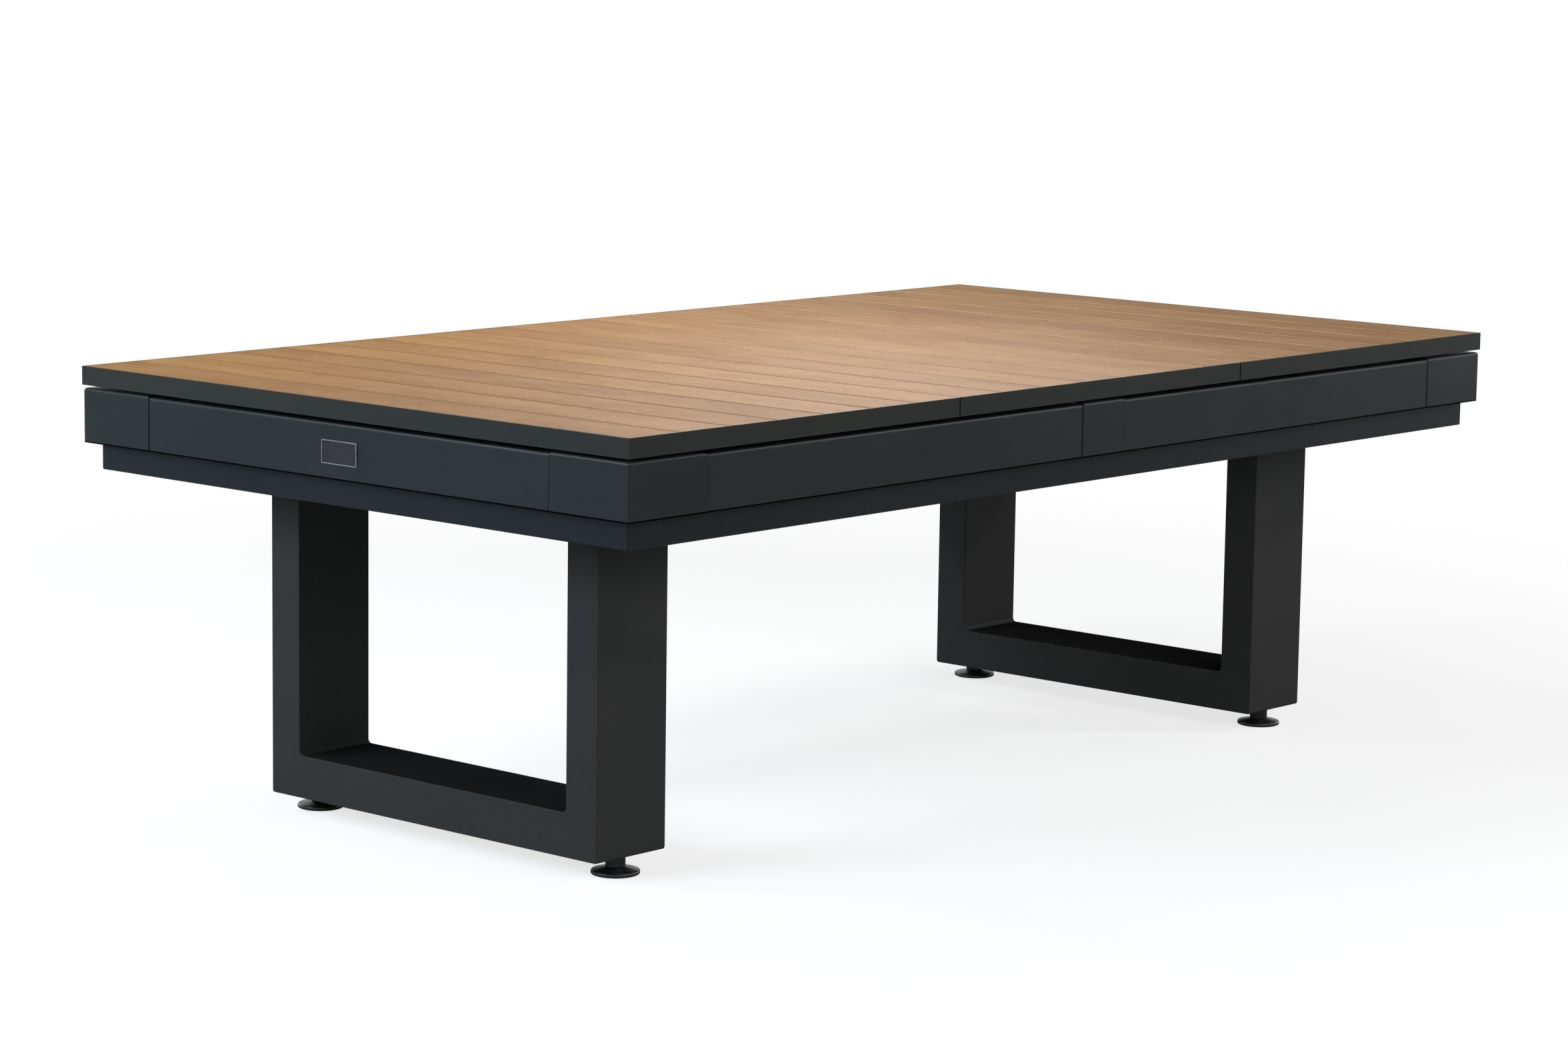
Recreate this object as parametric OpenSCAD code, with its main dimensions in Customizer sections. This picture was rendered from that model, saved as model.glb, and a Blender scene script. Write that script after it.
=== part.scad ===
// Outdoor pool table whose slatted dining top lies on the rails as three lift-off panels.
// The origin is on the floor under the table's centre: +X along the table, +Y across it, +Z up.
// The near side is -Y, and the nameplate is on the -X end.

/* [Playing field] */
// Distance between the noses of the two end cushions
play_l = 2235; // [1980:5:2540]
// Distance between the noses of the side cushions
play_w = 1118; // [990:2:1270]
// Diameter of the balls, which sets the height of the cushion noses
ball_d = 57.15; // [52:0.05:61]
// Thickness of the bed cloth
cloth_t = 1.2; // [0.8:0.1:2]
// Thickness of the slates
slate_t = 25; // [19:1:32]
// Reach of the slates beyond the cushion noses
slate_over = 100; // [96:1:104]
// Joint between two slates
slate_joint = 0.5; // [0.2:0.1:1]

/* [Rails and cushions] */
// Cushion nose to the rail's outer face
rail_reach = 117.5; // [112:0.5:130]
// Cushion nose to the rail's inner wall, which is the cushion's depth
cushion_depth = 48; // [42:1:54]
// Height of the rail's top above the slate
rail_rise = 43.5; // [42:0.5:50]
// Height of the rail's outer face
rail_face_h = 96.5; // [80:0.5:110]
// Wall of the hollow rails
rail_wall = 4; // [3:0.5:6]
// Lip under the rail's outer face
rail_lip = 10; // [6:1:12]
// Radius along the rail's outer top edge
rail_edge_r = 5.5; // [2:0.5:8]
// Cushion's underside above the slate
cushion_lift = 9; // [6:1:12]
// Width of the cushion's underside
cushion_foot = 20; // [12:1:30]
// Radius of the cushion nose
nose_r = 3; // [2:0.5:4]
// Share of the ball's diameter at which the nose meets it
nose_share = 0.635; // [0.62:0.005:0.65]
// Diameter of the round sights in the rails
sight_d = 10; // [6:1:14]
// Thickness of the sights
sight_t = 1.5; // [1:0.1:2.5]
// Cushion nose to the middle of the sights
sight_out = 80; // [70:1:84]

/* [Pockets] */
// Radius of a corner pocket
corner_r = 58; // [54:1:60]
// Nose cut back from the corner along each rail
corner_mouth = 85; // [78:1:92]
// Angle by which a cushion end slants towards a corner pocket
corner_slant = 52; // [45:1:55]
// Radius of a side pocket
side_r = 50; // [48:1:52]
// Nose cut back from the middle at a side pocket
side_mouth = 65; // [60:1:70]
// Angle by which a cushion end slants towards a side pocket
side_slant = 14; // [8:1:20]
// Length of a corner block along the side
corner_block_l = 182; // [170:1:200]
// Length of a corner block along the end
corner_block_w = 178; // [170:1:200]
// Width of a side pocket block
side_block_w = 122; // [116:1:140]
// Top of the blocks above the rails
block_rise = 2.5; // [1:0.5:5]
// Faces of the blocks proud of the rails
block_proud = 1; // [0:0.5:2]
// Wall of the cast blocks
block_wall = 6; // [4:0.5:8]
// Skin over the cast blocks
block_skin = 8; // [5:0.5:10]
// Radius along the edges of the blocks
block_edge_r = 5.5; // [2:0.5:8]
// Joint between a block and a rail
block_joint = 1; // [1:0.5:4]
// Wall of the pocket cups
cup_wall = 3; // [2:0.5:4]
// Cup's outside inward of the pocket's edge
cup_in = 3; // [1:0.5:5]
// Reach of the cup's flange beyond the pocket's edge
cup_flange = 6; // [3:0.5:7]
// Gap between a cup and the nearest skirt
cup_gap = 3; // [1:0.5:8]
// Cup's bottom above the skirt's lower edge
cup_up = 10; // [6:1:30]
// Amount by which the cups narrow towards the bottom
cup_taper = 7; // [2:1:14]
// Clearance round the cups' flanges in the slates
cup_clear = 1.5; // [0.5:0.5:3]

/* [Chassis] */
// Width of the long beams
beam_w = 80; // [70:1:90]
// Height of all beams
beam_h = 50; // [40:1:60]
// Wall of the beams
beam_wall = 3; // [2:0.5:5]
// Width of the cross beams and outriggers
cross_w = 60; // [40:1:70]
// End cross beam, inward of the end nose line
end_beam_in = 20; // [10:1:60]
// Skirt's face, inward of the rail's outer face
skirt_in = 21.5; // [20:0.5:24]
// Skirt's lower edge under the rail's lower edge
skirt_drop = 49; // [35:1:60]
// Thickness of the folded skirts
skirt_t = 2; // [1.5:0.5:3]
// Width of the flange folded in under the skirts
skirt_flange = 25; // [15:1:26]
// Outer radius of the skirts' folds
skirt_edge_r = 3; // [3:0.5:5]

/* [Leg frames] */
// Leg frame's centre, inward of the end nose line
leg_in = 175.2; // [150:0.1:400]
// Post's centre, inward of the side nose line
post_in = 186; // [150:0.1:250]
// Leg frame's depth along the table
leg_depth = 170; // [120:1:200]
// Width of the posts
post_w = 73.3; // [60:0.1:80]
// Height of the bottom bar
bar_h = 78; // [60:1:100]
// Wall of the posts and the bar
leg_wall = 3; // [2:0.5:5]
// Fillet between a post and the bottom bar
leg_inner_r = 8; // [4:1:20]
// Radius of the lower outer corners
leg_outer_r = 5; // [2:0.5:10]
// Thickness of the top plates
plate_t = 8; // [6:1:12]
// Reach of a top plate beyond its post
plate_reach = 35; // [28:1:45]
// Spacing of a top plate's two bolts across the table
plate_bolt_gap = 44; // [30:1:50]

/* [Levelling feet] */
// Diameter of a foot's pad
pad_d = 85; // [70:1:100]
// Thickness of a foot's pad
pad_t = 12.5; // [11:0.5:16]
// Diameter of the threaded bush
bush_d = 35; // [30:1:45]
// Length of the bush under the leg frame
bush_drop = 22.2; // [16:0.1:30]
// Length of the bush inside the leg frame
bush_top = 25; // [15:1:40]
// Diameter of the bush inside the leg frame
bush_neck_d = 26; // [22:1:28]
// Diameter of the stem
stem_d = 16; // [12:1:20]
// Length of the stem above the bottom of the leg frame
stem_rise = 50; // [30:1:65]
// Pad under the stem
pad_floor = 3; // [2:0.5:5]
// Height of the pad's upright edge
pad_edge_h = 8; // [6:0.5:9]
// Radius of the pad's edges
pad_edge_r = 2; // [1:0.5:2.5]
// Diameter of the stem's flange in the pad
stem_flange_d = 24; // [22:1:30]
// Thickness of that flange
stem_flange_t = 3; // [2:0.5:4]

/* [Dining top] */
// Height of the dining top
table_h = 805; // [740:1:850]
// Height of the rim
rim_h = 34; // [28:1:45]
// Thickness of the rim
rim_t = 3; // [2:0.5:6]
// Rim beyond the rails
rim_over = 3; // [0:0.5:10]
// Joint between two panels
panel_joint = 3; // [2:0.5:6]
// Slats on each panel
slat_count = 7; // [5:1:9]
// Thickness of the slats
slat_t = 18; // [14:0.5:22]
// Gap between the slats
slat_gap = 4.5; // [3:0.5:8]
// Shadow gap between the slats and the rim
slat_margin = 1; // [0.5:0.5:3]
// Bevel along the upper edges of the slats
slat_bevel = 1.2; // [0.5:0.1:3]
// Width of the bars under the slats
bar_w = 22; // [16:1:30]
// Bars under each panel, those along its sides included
bar_count = 7; // [7:1:9]
// Diameter of the rubber buffers under the panels
buffer_d = 20; // [14:1:22]
// Height of the buffers, which is the gap over the rails
buffer_h = 7.5; // [6:0.5:12]
// Centre of a buffer inward of its panel's joint
buffer_in = 195; // [120:1:250]
// The same on the -X panel
buffer_joint_in = 41; // [30:1:120]
// Gap between a buffer and the corner block beside it
buffer_clear = 5; // [2:1:40]

/* [Nameplate] */
// Width of the nameplate
name_w = 87; // [60:1:110]
// Height of the nameplate
name_h = 41; // [30:1:60]
// Thickness of the nameplate
name_t = 2.4; // [1.5:0.1:2.8]
// Width of its raised border
name_border = 1.5; // [1:0.1:3]
// Depth of the field inside the border
name_field = 0.6; // [0.3:0.1:1]
// Nameplate's centre above the rail's lower edge
name_up = 47; // [35:1:55]

/* [Fasteners and clearances] */
// Diameter of the leg bolts
leg_bolt_d = 10; // [8:1:12]
// Diameter of the rail bolts
rail_bolt_d = 8; // [6:1:10]
// Cushion nose to the rail bolts
rail_bolt_out = 72; // [66:1:80]
// End rails' outer bolts from the table's centre
end_bolt_y = 250; // [150:1:300]
// Diameter of the slate screws
slate_screw_d = 6; // [4:1:8]
// Slate screws inward of the ends of each slate
slate_screw_in = 60; // [40:1:100]
// Radial clearance of bolts and screws in their holes
hole_clear = 0.3; // [0.1:0.1:1]
// Gap between pieces that lie against each other
seat = 0.3; // [0.1:0.1:0.5]
// Radial clearance of a stem in its bush and its pad
stem_clear = 0.05; // [0.02:0.01:0.1]

/* [Hidden] */
$fn = 48;
eps = 0.5; // how far a cutter passes the face that it cuts
hex_share = 1.85; // a hexagon's width over its corners, for each bolt diameter
head_share = 0.65; // a bolt head's height, for each bolt diameter

// Levels above the floor
rim_z = table_h - rim_h;
rail_z = rim_z - buffer_h;
block_z = rail_z + block_rise;
slate_z = rail_z - rail_rise;
cloth_z = slate_z + cloth_t;
nose_z = cloth_z + nose_share * ball_d;
slate_low_z = slate_z - slate_t;
beam_low_z = slate_low_z - beam_h;
rail_low_z = rail_z - rail_face_h;
skirt_low_z = rail_low_z - skirt_drop;
skirt_top_z = slate_low_z - seat;
plate_low_z = beam_low_z - plate_t;
bush_low_z = pad_t + seat;
leg_low_z = bush_low_z + bush_drop;
bar_top_z = leg_low_z + bar_h;
cup_low_z = skirt_low_z + cup_up;
slat_low_z = table_h - slat_t;

// Half lengths and half widths from the table's centre
nose_x = play_l / 2;
nose_y = play_w / 2;
rail_x = nose_x + rail_reach;
rail_y = nose_y + rail_reach;
top_x = rail_x + rim_over;
top_y = rail_y + rim_over;
slate_x = nose_x + slate_over;
slate_y = nose_y + slate_over;
skirt_x = rail_x - skirt_in;
skirt_y = rail_y - skirt_in;

// Distances outward of the nose line
skirt_face = rail_reach - skirt_in;
cup_limit = skirt_face - skirt_t - cup_gap + cup_in;
corner_out = cup_limit - corner_r;
side_out = cup_limit - side_r;
block_face = rail_reach + block_proud;

// Places of the supports
leg_x = nose_x - leg_in;
post_y = nose_y - post_in;
slate_third = 2 * slate_x / 3;
joint_x = slate_third / 2;
end_beam_x = nose_x - end_beam_in;
cross_xs = [-end_beam_x, -leg_x, -joint_x, 0, joint_x, leg_x, end_beam_x];
outrigger_xs = [-leg_x, -joint_x, joint_x, leg_x];
feet = [for (x = [-leg_x, leg_x], y = [-post_y, post_y]) [x, y]];
bolt_xs = [for (side = [-1, 1]) side * (leg_depth + plate_reach) / 2];
bolt_ys = [for (side = [-1, 1]) side * plate_bolt_gap / 2];
screw_xs = [for (third = [-1, 0, 1], side = [-1, 1])
    third * slate_third + side * (slate_third / 2 - slate_screw_in)];

// Rails lie between the blocks
side_rail_from = side_block_w / 2 + block_joint;
side_rail_to = rail_x - corner_block_l - block_joint;
side_rail_l = side_rail_to - side_rail_from;
end_rail_l = 2 * (rail_y - corner_block_w - block_joint);
side_bolt_xs = [for (part = [1, 3, 5]) side_rail_from + side_rail_l * part / 6];
end_bolt_ys = [-end_bolt_y, 0, end_bolt_y];
bolt_places = concat(
    [for (x = side_bolt_xs, side = [-1, 1], end = [-1, 1]) [end * x, side * (nose_y + rail_bolt_out)]],
    [for (y = end_bolt_ys, end = [-1, 1]) [end * (nose_x + rail_bolt_out), y]]
);
side_sights = [for (k = [1:3]) [k * play_l / 8, nose_y + sight_out]];
end_sights = [for (k = [-1:1]) [nose_x + sight_out, k * play_w / 4]];

// Panels of the dining top
panel_l = 2 * top_x / 3;
bar_pitch = 2 * (top_y - rim_t - bar_w / 2) / (bar_count - 1);

steel = "dimgray";
coat = "darkslategray";
cast_coat = "#3a4042";
felt = "steelblue";
teak = "tan";

// ---- Shared shapes ----

module box(low, high) {
    translate(low) cube(high - low);
}

// Flat rectangle whose corners, listed as signs of x and y, are rounded
module round_rect(low, high, r, corners) {
    middle = (low + high) / 2;
    difference() {
        translate(low) square(high - low);
        for (c = corners) {
            tip = middle + [c[0] * (high[0] - low[0]), c[1] * (high[1] - low[1])] / 2;
            translate(tip) difference() {
                square(2 * r, center = true);
                translate(-r * c) circle(r);
            }
        }
    }
}

// Extrudes a section drawn outward and up along the +Y side, from x0 to x1
module along_side(x0, x1) {
    translate([x0, nose_y, 0]) rotate([90, 0, 90]) linear_extrude(x1 - x0) children();
}

// Extrudes a section drawn outward and up along the +X end, over a width about the middle
module along_end(width) {
    translate([nose_x, width / 2, 0]) rotate([90, 0, 0]) linear_extrude(width) children();
}

// Turns a piece drawn on the +X, +Y quarter of the table to the quarter asked for
module to_quarter(x, y) {
    mirror([x < 0 ? 1 : 0, 0, 0]) mirror([0, y < 0 ? 1 : 0, 0]) children();
}

// Box with rounded upright edges and one rounded set of level edges, the upper or the lower one
module soft_box(low, high, r, upper) {
    level = upper ? 1 : -1;
    size = high - low;
    intersection() {
        translate([0, 0, low[2]]) linear_extrude(size[2])
            round_rect([low[0], low[1]], [high[0], high[1]], r, [[1, 1], [1, -1], [-1, 1], [-1, -1]]);
        translate([low[0], 0, 0]) rotate([90, 0, 90]) linear_extrude(size[0])
            round_rect([low[1], low[2]], [high[1], high[2]], r, [[1, level], [-1, level]]);
        translate([0, high[1], 0]) rotate([90, 0, 0]) linear_extrude(size[1])
            round_rect([low[0], low[2]], [high[0], high[2]], r, [[1, level], [-1, level]]);
    }
}

// Upright bolt through a joint from low to high, with a hexagon head below and a nut above
module bolt(d, low, high) {
    hexagon = hex_share * d;
    head = head_share * d;
    translate([0, 0, low - head]) cylinder(d = hexagon, h = head, $fn = 6);
    translate([0, 0, low - head / 2]) cylinder(d = d, h = high - low + head / 2 + d);
    translate([0, 0, high]) cylinder(d = hexagon, h = head, $fn = 6);
}

// ---- Leg frames ----

// The frame's outline across the table; the posts' tops stand in the top plates
module leg_outline() {
    outer = post_y + post_w / 2;
    inner = post_y - post_w / 2;
    difference() {
        round_rect([-outer, leg_low_z], [outer, plate_low_z + eps], leg_outer_r, [[1, -1], [-1, -1]]);
        round_rect([-inner, bar_top_z], [inner, plate_low_z + plate_t], leg_inner_r, [[1, -1], [-1, -1]]);
    }
}

module leg_hollow() {
    inside = post_w / 2 - leg_wall;
    half = leg_depth / 2 - leg_wall;
    for (y = [-post_y, post_y])
        box([-half, y - inside, leg_low_z + leg_wall], [half, y + inside, plate_low_z]);
    box([-half, -post_y, leg_low_z + leg_wall], [half, post_y, bar_top_z - leg_wall]);
}

module top_plate_drilling() {
    translate([0, 0, plate_low_z - eps]) {
        cylinder(d = post_w / 2, h = plate_t + 2 * eps);
        for (x = bolt_xs, y = bolt_ys)
            translate([x, y, 0]) cylinder(r = leg_bolt_d / 2 + hole_clear, h = plate_t + 2 * eps);
    }
}

module leg_frame(x) {
    half = [leg_depth / 2 + plate_reach, beam_w / 2];
    color(coat) translate([x, 0, 0]) difference() {
        union() {
            translate([-leg_depth / 2, 0, 0]) rotate([90, 0, 90]) linear_extrude(leg_depth) leg_outline();
            for (y = [-post_y, post_y])
                box([-half[0], y - half[1], plate_low_z], [half[0], y + half[1], plate_low_z + plate_t]);
        }
        leg_hollow();
        for (y = [-post_y, post_y]) translate([0, y, 0]) {
            top_plate_drilling();
            translate([0, 0, leg_low_z - eps])
                cylinder(r = bush_neck_d / 2 + hole_clear, h = leg_wall + 2 * eps);
        }
    }
}

module leg_bolts() {
    color(steel) for (foot = feet, x = bolt_xs, y = bolt_ys)
        translate([foot[0] + x, foot[1] + y, 0]) bolt(leg_bolt_d, plate_low_z, beam_low_z + beam_wall);
}

// ---- Levelling feet ----

module leveller_bushes() {
    color(steel) for (foot = feet) translate([foot[0], foot[1], bush_low_z]) difference() {
        union() {
            cylinder(d = bush_d, h = bush_drop);
            cylinder(d = bush_neck_d, h = bush_drop + bush_top);
        }
        translate([0, 0, -eps]) cylinder(r = stem_d / 2 + stem_clear, h = bush_drop + bush_top + 2 * eps);
    }
}

module foot_pad(x, y) {
    r = pad_d / 2;
    e = pad_edge_r;
    flange_top = pad_floor + stem_flange_t + 2 * seat;
    color("#202020") translate([x, y, 0]) rotate_extrude() difference() {
        polygon([
            [0, 0], [r - e, 0],
            for (a = [-75:15:0]) [r - e + e * cos(a), e + e * sin(a)],
            for (a = [0:15:75]) [r - e + e * cos(a), pad_edge_h - e + e * sin(a)],
            [r - e, pad_edge_h], [bush_d / 2 + e, pad_t], [0, pad_t],
        ]);
        translate([0, pad_floor]) square([stem_flange_d / 2 + stem_clear, flange_top - pad_floor]);
        translate([0, pad_floor]) square([stem_d / 2 + stem_clear, pad_t]);
    }
}

module foot_stem(x, y) {
    low = pad_floor + seat;
    color("silver") translate([x, y, low]) {
        cylinder(d = stem_flange_d, h = stem_flange_t);
        cylinder(d = stem_d, h = leg_low_z + stem_rise - low);
    }
}

// ---- Chassis ----

module long_beams() {
    end = skirt_x - skirt_t;
    color(coat) for (y = [-post_y, post_y]) translate([0, y, 0]) difference() {
        box([-end, -beam_w / 2, beam_low_z], [end, beam_w / 2, slate_low_z]);
        box([-end - eps, beam_wall - beam_w / 2, beam_low_z + beam_wall],
            [end + eps, beam_w / 2 - beam_wall, slate_low_z - beam_wall]);
        for (leg = [-leg_x, leg_x], x = bolt_xs, bolt_y = bolt_ys)
            translate([leg + x, bolt_y, beam_low_z - eps])
                cylinder(r = leg_bolt_d / 2 + hole_clear, h = beam_wall + 2 * eps);
        for (x = screw_xs)
            translate([x, 0, slate_low_z - beam_wall - eps])
                cylinder(r = slate_screw_d / 2 + hole_clear, h = beam_wall + 2 * eps);
    }
}

// A box tube across the table, from y0 to y1
module cross_tube(x, y0, y1) {
    half = cross_w / 2;
    difference() {
        box([x - half, y0, beam_low_z], [x + half, y1, slate_low_z]);
        box([x - half + beam_wall, y0 - eps, beam_low_z + beam_wall],
            [x + half - beam_wall, y1 + eps, slate_low_z - beam_wall]);
    }
}

module cross_members() {
    inner = post_y - beam_w / 2;
    outer = post_y + beam_w / 2;
    edge = skirt_y - skirt_t;
    color(coat) {
        for (x = cross_xs) cross_tube(x, -inner, inner);
        for (x = outrigger_xs) {
            cross_tube(x, outer, edge);
            cross_tube(x, -edge, -outer);
        }
    }
}

// The folded sheet all round the chassis, before its mitres
module skirt_ring() {
    t = skirt_t;
    r = skirt_edge_r;
    top = skirt_top_z + r;
    edge = [skirt_x, skirt_y];
    flange = [skirt_flange, skirt_flange];
    difference() {
        soft_box(concat(-edge, skirt_low_z), concat(edge, top), r, false);
        soft_box(concat([t, t] - edge, skirt_low_z + t), concat(edge - [t, t], top + t), r - t, false);
        box(concat(flange - edge, skirt_low_z - eps), concat(edge - flange, skirt_low_z + t + eps));
        box(concat(-edge - [eps, eps], skirt_top_z), concat(edge + [eps, eps], top + t));
    }
}

// One side or end of that ring, cut at 45 degrees at both corners
module skirt(long, side) {
    reach = 2 * skirt_flange;
    x = skirt_x + eps;
    y = skirt_y + eps;
    shape = long ? [[x, y], [x - reach, y - reach], [reach - x, y - reach], [-x, y]]
                 : [[x, y], [x, -y], [x - reach, reach - y], [x - reach, y - reach]];
    color(coat) intersection() {
        skirt_ring();
        to_quarter(long ? 1 : side, long ? side : 1)
            translate([0, 0, skirt_low_z - eps])
                linear_extrude(skirt_top_z - skirt_low_z + 2 * eps) polygon(shape);
    }
}

// ---- Bed ----

// Openings for the six pockets in the bed, each wider than its pocket by extra
module pocket_cuts(extra) {
    for (x = [-1, 1], y = [-1, 1]) mirror([x < 0 ? 1 : 0, 0]) mirror([0, y < 0 ? 1 : 0])
        translate([nose_x + corner_out, nose_y + corner_out]) {
            circle(corner_r + extra);
            square(slate_over);
        }
    for (y = [-1, 1]) mirror([0, y < 0 ? 1 : 0]) translate([0, nose_y + side_out]) {
        circle(side_r + extra);
        translate([-side_r - extra, 0]) square([2 * (side_r + extra), slate_over]);
    }
}

// A countersunk screw, drawn down from its head; extra widens it into its hole
module countersunk(d, length, extra) {
    r = d / 2 + extra;
    head = d + extra;
    rotate_extrude() polygon([[0, 0], [head, 0], [r, -d / 2], [r, -length], [0, -length]]);
}

module slate_screws() {
    color(steel) for (x = screw_xs, y = [-post_y, post_y])
        translate([x, y, slate_z - seat])
            countersunk(slate_screw_d, slate_t + beam_wall + slate_screw_d, 0);
}

module slate(third) {
    low = third * slate_third - slate_third / 2 + (third > -1 ? slate_joint / 2 : 0);
    high = third * slate_third + slate_third / 2 - (third < 1 ? slate_joint / 2 : 0);
    color("gray") difference() {
        translate([0, 0, slate_low_z]) linear_extrude(slate_t) difference() {
            translate([low, -slate_y]) square([high - low, 2 * slate_y]);
            pocket_cuts(cup_flange + cup_clear);
        }
        for (x = screw_xs, y = [-post_y, post_y])
            if (x > low && x < high) translate([x, y, slate_z]) {
                countersunk(slate_screw_d, slate_t + eps, hole_clear);
                cylinder(r = slate_screw_d + hole_clear, h = eps);
            }
        for (place = bolt_places)
            if (place[0] > low && place[0] < high)
                translate([place[0], place[1], slate_low_z - eps])
                    cylinder(r = rail_bolt_d / 2 + hole_clear, h = slate_t + 2 * eps);
    }
}

module bed_cloth() {
    x = nose_x + cushion_depth - seat;
    y = nose_y + cushion_depth - seat;
    color(felt) translate([0, 0, slate_z]) linear_extrude(cloth_t) difference() {
        translate([-x, -y]) square(2 * [x, y]);
        pocket_cuts(cup_flange + cup_clear);
    }
}

// ---- Rails ----

// The hollow rail's section: it stands on the slate and hangs down outside it
module rail_section() {
    wall = rail_wall;
    difference() {
        round_rect([cushion_depth, rail_low_z], [rail_reach, rail_z], rail_edge_r, [[1, 1]]);
        translate([cushion_depth - eps, rail_low_z + wall])
            square([rail_reach - wall - cushion_depth + eps, slate_z - rail_low_z - wall]);
        translate([cushion_depth - eps, rail_low_z - eps])
            square([rail_reach - rail_lip - cushion_depth + eps, slate_z - rail_low_z + eps]);
        translate([cushion_depth + wall, slate_z + wall])
            square([rail_reach - cushion_depth - 2 * wall, rail_z - slate_z - 2 * wall]);
    }
}

module rail_drilling(bolts, sights) {
    for (p = bolts) translate([p[0], p[1], slate_z - eps])
        cylinder(r = rail_bolt_d / 2 + hole_clear, h = rail_wall + 2 * eps);
    for (p = sights) translate([p[0], p[1], rail_z - sight_t])
        cylinder(r = sight_d / 2 + hole_clear, h = sight_t + eps);
}

module side_rail(end, side) {
    color(coat) to_quarter(end, side) difference() {
        along_side(side_rail_from, side_rail_to) rail_section();
        rail_drilling([for (x = side_bolt_xs) [x, nose_y + rail_bolt_out]], side_sights);
    }
}

module end_rail(end) {
    color(coat) to_quarter(end, 1) difference() {
        along_end(end_rail_l) rail_section();
        rail_drilling([for (y = end_bolt_ys) [nose_x + rail_bolt_out, y]], end_sights);
    }
}

module rail_bolts() {
    color(steel) for (place = bolt_places)
        translate([place[0], place[1], 0]) bolt(rail_bolt_d, slate_low_z, slate_z + rail_wall);
}

module rail_sights() {
    color("white") for (x = [-1, 1], y = [-1, 1]) to_quarter(x, y)
        for (p = concat(side_sights, y > 0 ? end_sights : []))
            translate([p[0], p[1], rail_z - sight_t]) cylinder(d = sight_d, h = sight_t);
}

module cushion_section() {
    polygon([
        [cushion_depth, slate_z + cushion_lift], [cushion_depth, rail_z - seat],
        [nose_r, nose_z + nose_r], [nose_r, nose_z - nose_r],
        [cushion_depth - cushion_foot, slate_z + cushion_lift],
    ]);
    translate([nose_r, nose_z]) circle(nose_r);
}

// Plan of a cushion whose nose runs from a to b, with ends that slant by two angles
module cushion_plan(a, b, slant_a, slant_b) {
    d = cushion_depth;
    polygon([[a, 0], [b, 0], [b + d * tan(slant_b), d], [a - d * tan(slant_a), d]]);
}

module side_cushion(end, side) {
    a = side_mouth;
    b = nose_x - corner_mouth;
    color(felt) to_quarter(end, side) intersection() {
        along_side(0, rail_x) cushion_section();
        translate([0, nose_y, slate_z]) linear_extrude(rail_rise)
            cushion_plan(a, b, side_slant, corner_slant);
    }
}

module end_cushion(end) {
    a = nose_y - corner_mouth;
    color(felt) to_quarter(end, 1) intersection() {
        along_end(2 * rail_y) cushion_section();
        translate([nose_x, 0, slate_z]) rotate(-90) linear_extrude(rail_rise)
            cushion_plan(-a, a, corner_slant, corner_slant);
    }
}

// ---- Pocket blocks and cups ----

module corner_block(end, side) {
    back = [rail_reach - corner_block_l, rail_reach - corner_block_w];
    bed = slate_over + seat;
    wall = block_wall;
    color(cast_coat) to_quarter(end, side) translate([nose_x, nose_y, 0]) difference() {
        soft_box([back[0], back[1], rail_low_z], [block_face, block_face, block_z], block_edge_r, true);
        // the table's inside corner, the slates and the pocket
        box([back[0] - eps, back[1] - eps, rail_low_z - eps], [cushion_depth, cushion_depth, block_z + eps]);
        box([back[0] - eps, back[1] - eps, rail_low_z - eps], [bed, bed, slate_z]);
        translate([corner_out, corner_out, slate_z - eps])
            cylinder(r = corner_r, h = block_z - slate_z + 2 * eps);
        // the hollow under the skin
        translate([0, 0, rail_low_z - eps]) linear_extrude(block_z - block_skin - rail_low_z + eps)
            difference() {
                translate(back + [wall, wall]) square([for (b = back) block_face - b - 2 * wall]);
                translate(back) square([for (b = back) cushion_depth + wall - b]);
                translate([corner_out, corner_out]) circle(corner_r + wall);
            }
    }
}

module side_block(side) {
    half = side_block_w / 2;
    bed = slate_over + seat;
    wall = block_wall;
    color(cast_coat) to_quarter(1, side) translate([0, nose_y, 0]) difference() {
        soft_box([-half, -cushion_depth, rail_low_z], [half, block_face, block_z], block_edge_r, true);
        // the playing field, the slates and the pocket
        box([-half - eps, -cushion_depth - eps, rail_low_z - eps],
            [half + eps, cushion_depth, block_z + eps]);
        box([-half - eps, 0, rail_low_z - eps], [half + eps, bed, slate_z]);
        translate([0, side_out, slate_z - eps]) cylinder(r = side_r, h = block_z - slate_z + 2 * eps);
        // the hollow under the skin
        translate([0, 0, rail_low_z - eps]) linear_extrude(block_z - block_skin - rail_low_z + eps)
            difference() {
                translate([wall - half, cushion_depth + wall])
                    square([2 * (half - wall), block_face - cushion_depth - 2 * wall]);
                translate([0, side_out]) circle(side_r + wall);
            }
    }
}

// A cup that hangs by its flange under a block, for a pocket of radius r
module cup(r) {
    outer = r - cup_in;
    color("#26282a") translate([0, 0, cup_low_z]) rotate_extrude() {
        h = slate_z - cup_low_z;
        t = cup_wall;
        polygon([
            [0, 0], [outer - cup_taper, 0], [outer, h - t], [r + cup_flange, h - t], [r + cup_flange, h],
            [outer - t, h], [outer - cup_taper - t, t], [0, t],
        ]);
    }
}

module corner_cup(end, side) {
    translate([end * (nose_x + corner_out), side * (nose_y + corner_out), 0]) cup(corner_r);
}

module side_cup(side) {
    translate([0, side * (nose_y + side_out), 0]) cup(side_r);
}

module nameplate() {
    low = [-rail_x - name_t, -name_w / 2, rail_low_z + name_up - name_h / 2];
    b = name_border;
    color("gray") difference() {
        translate(low) cube([name_t, name_w, name_h]);
        translate(low + [-eps, b, b]) cube([name_field + eps, name_w - 2 * b, name_h - 2 * b]);
    }
}

// ---- Dining top ----

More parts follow.
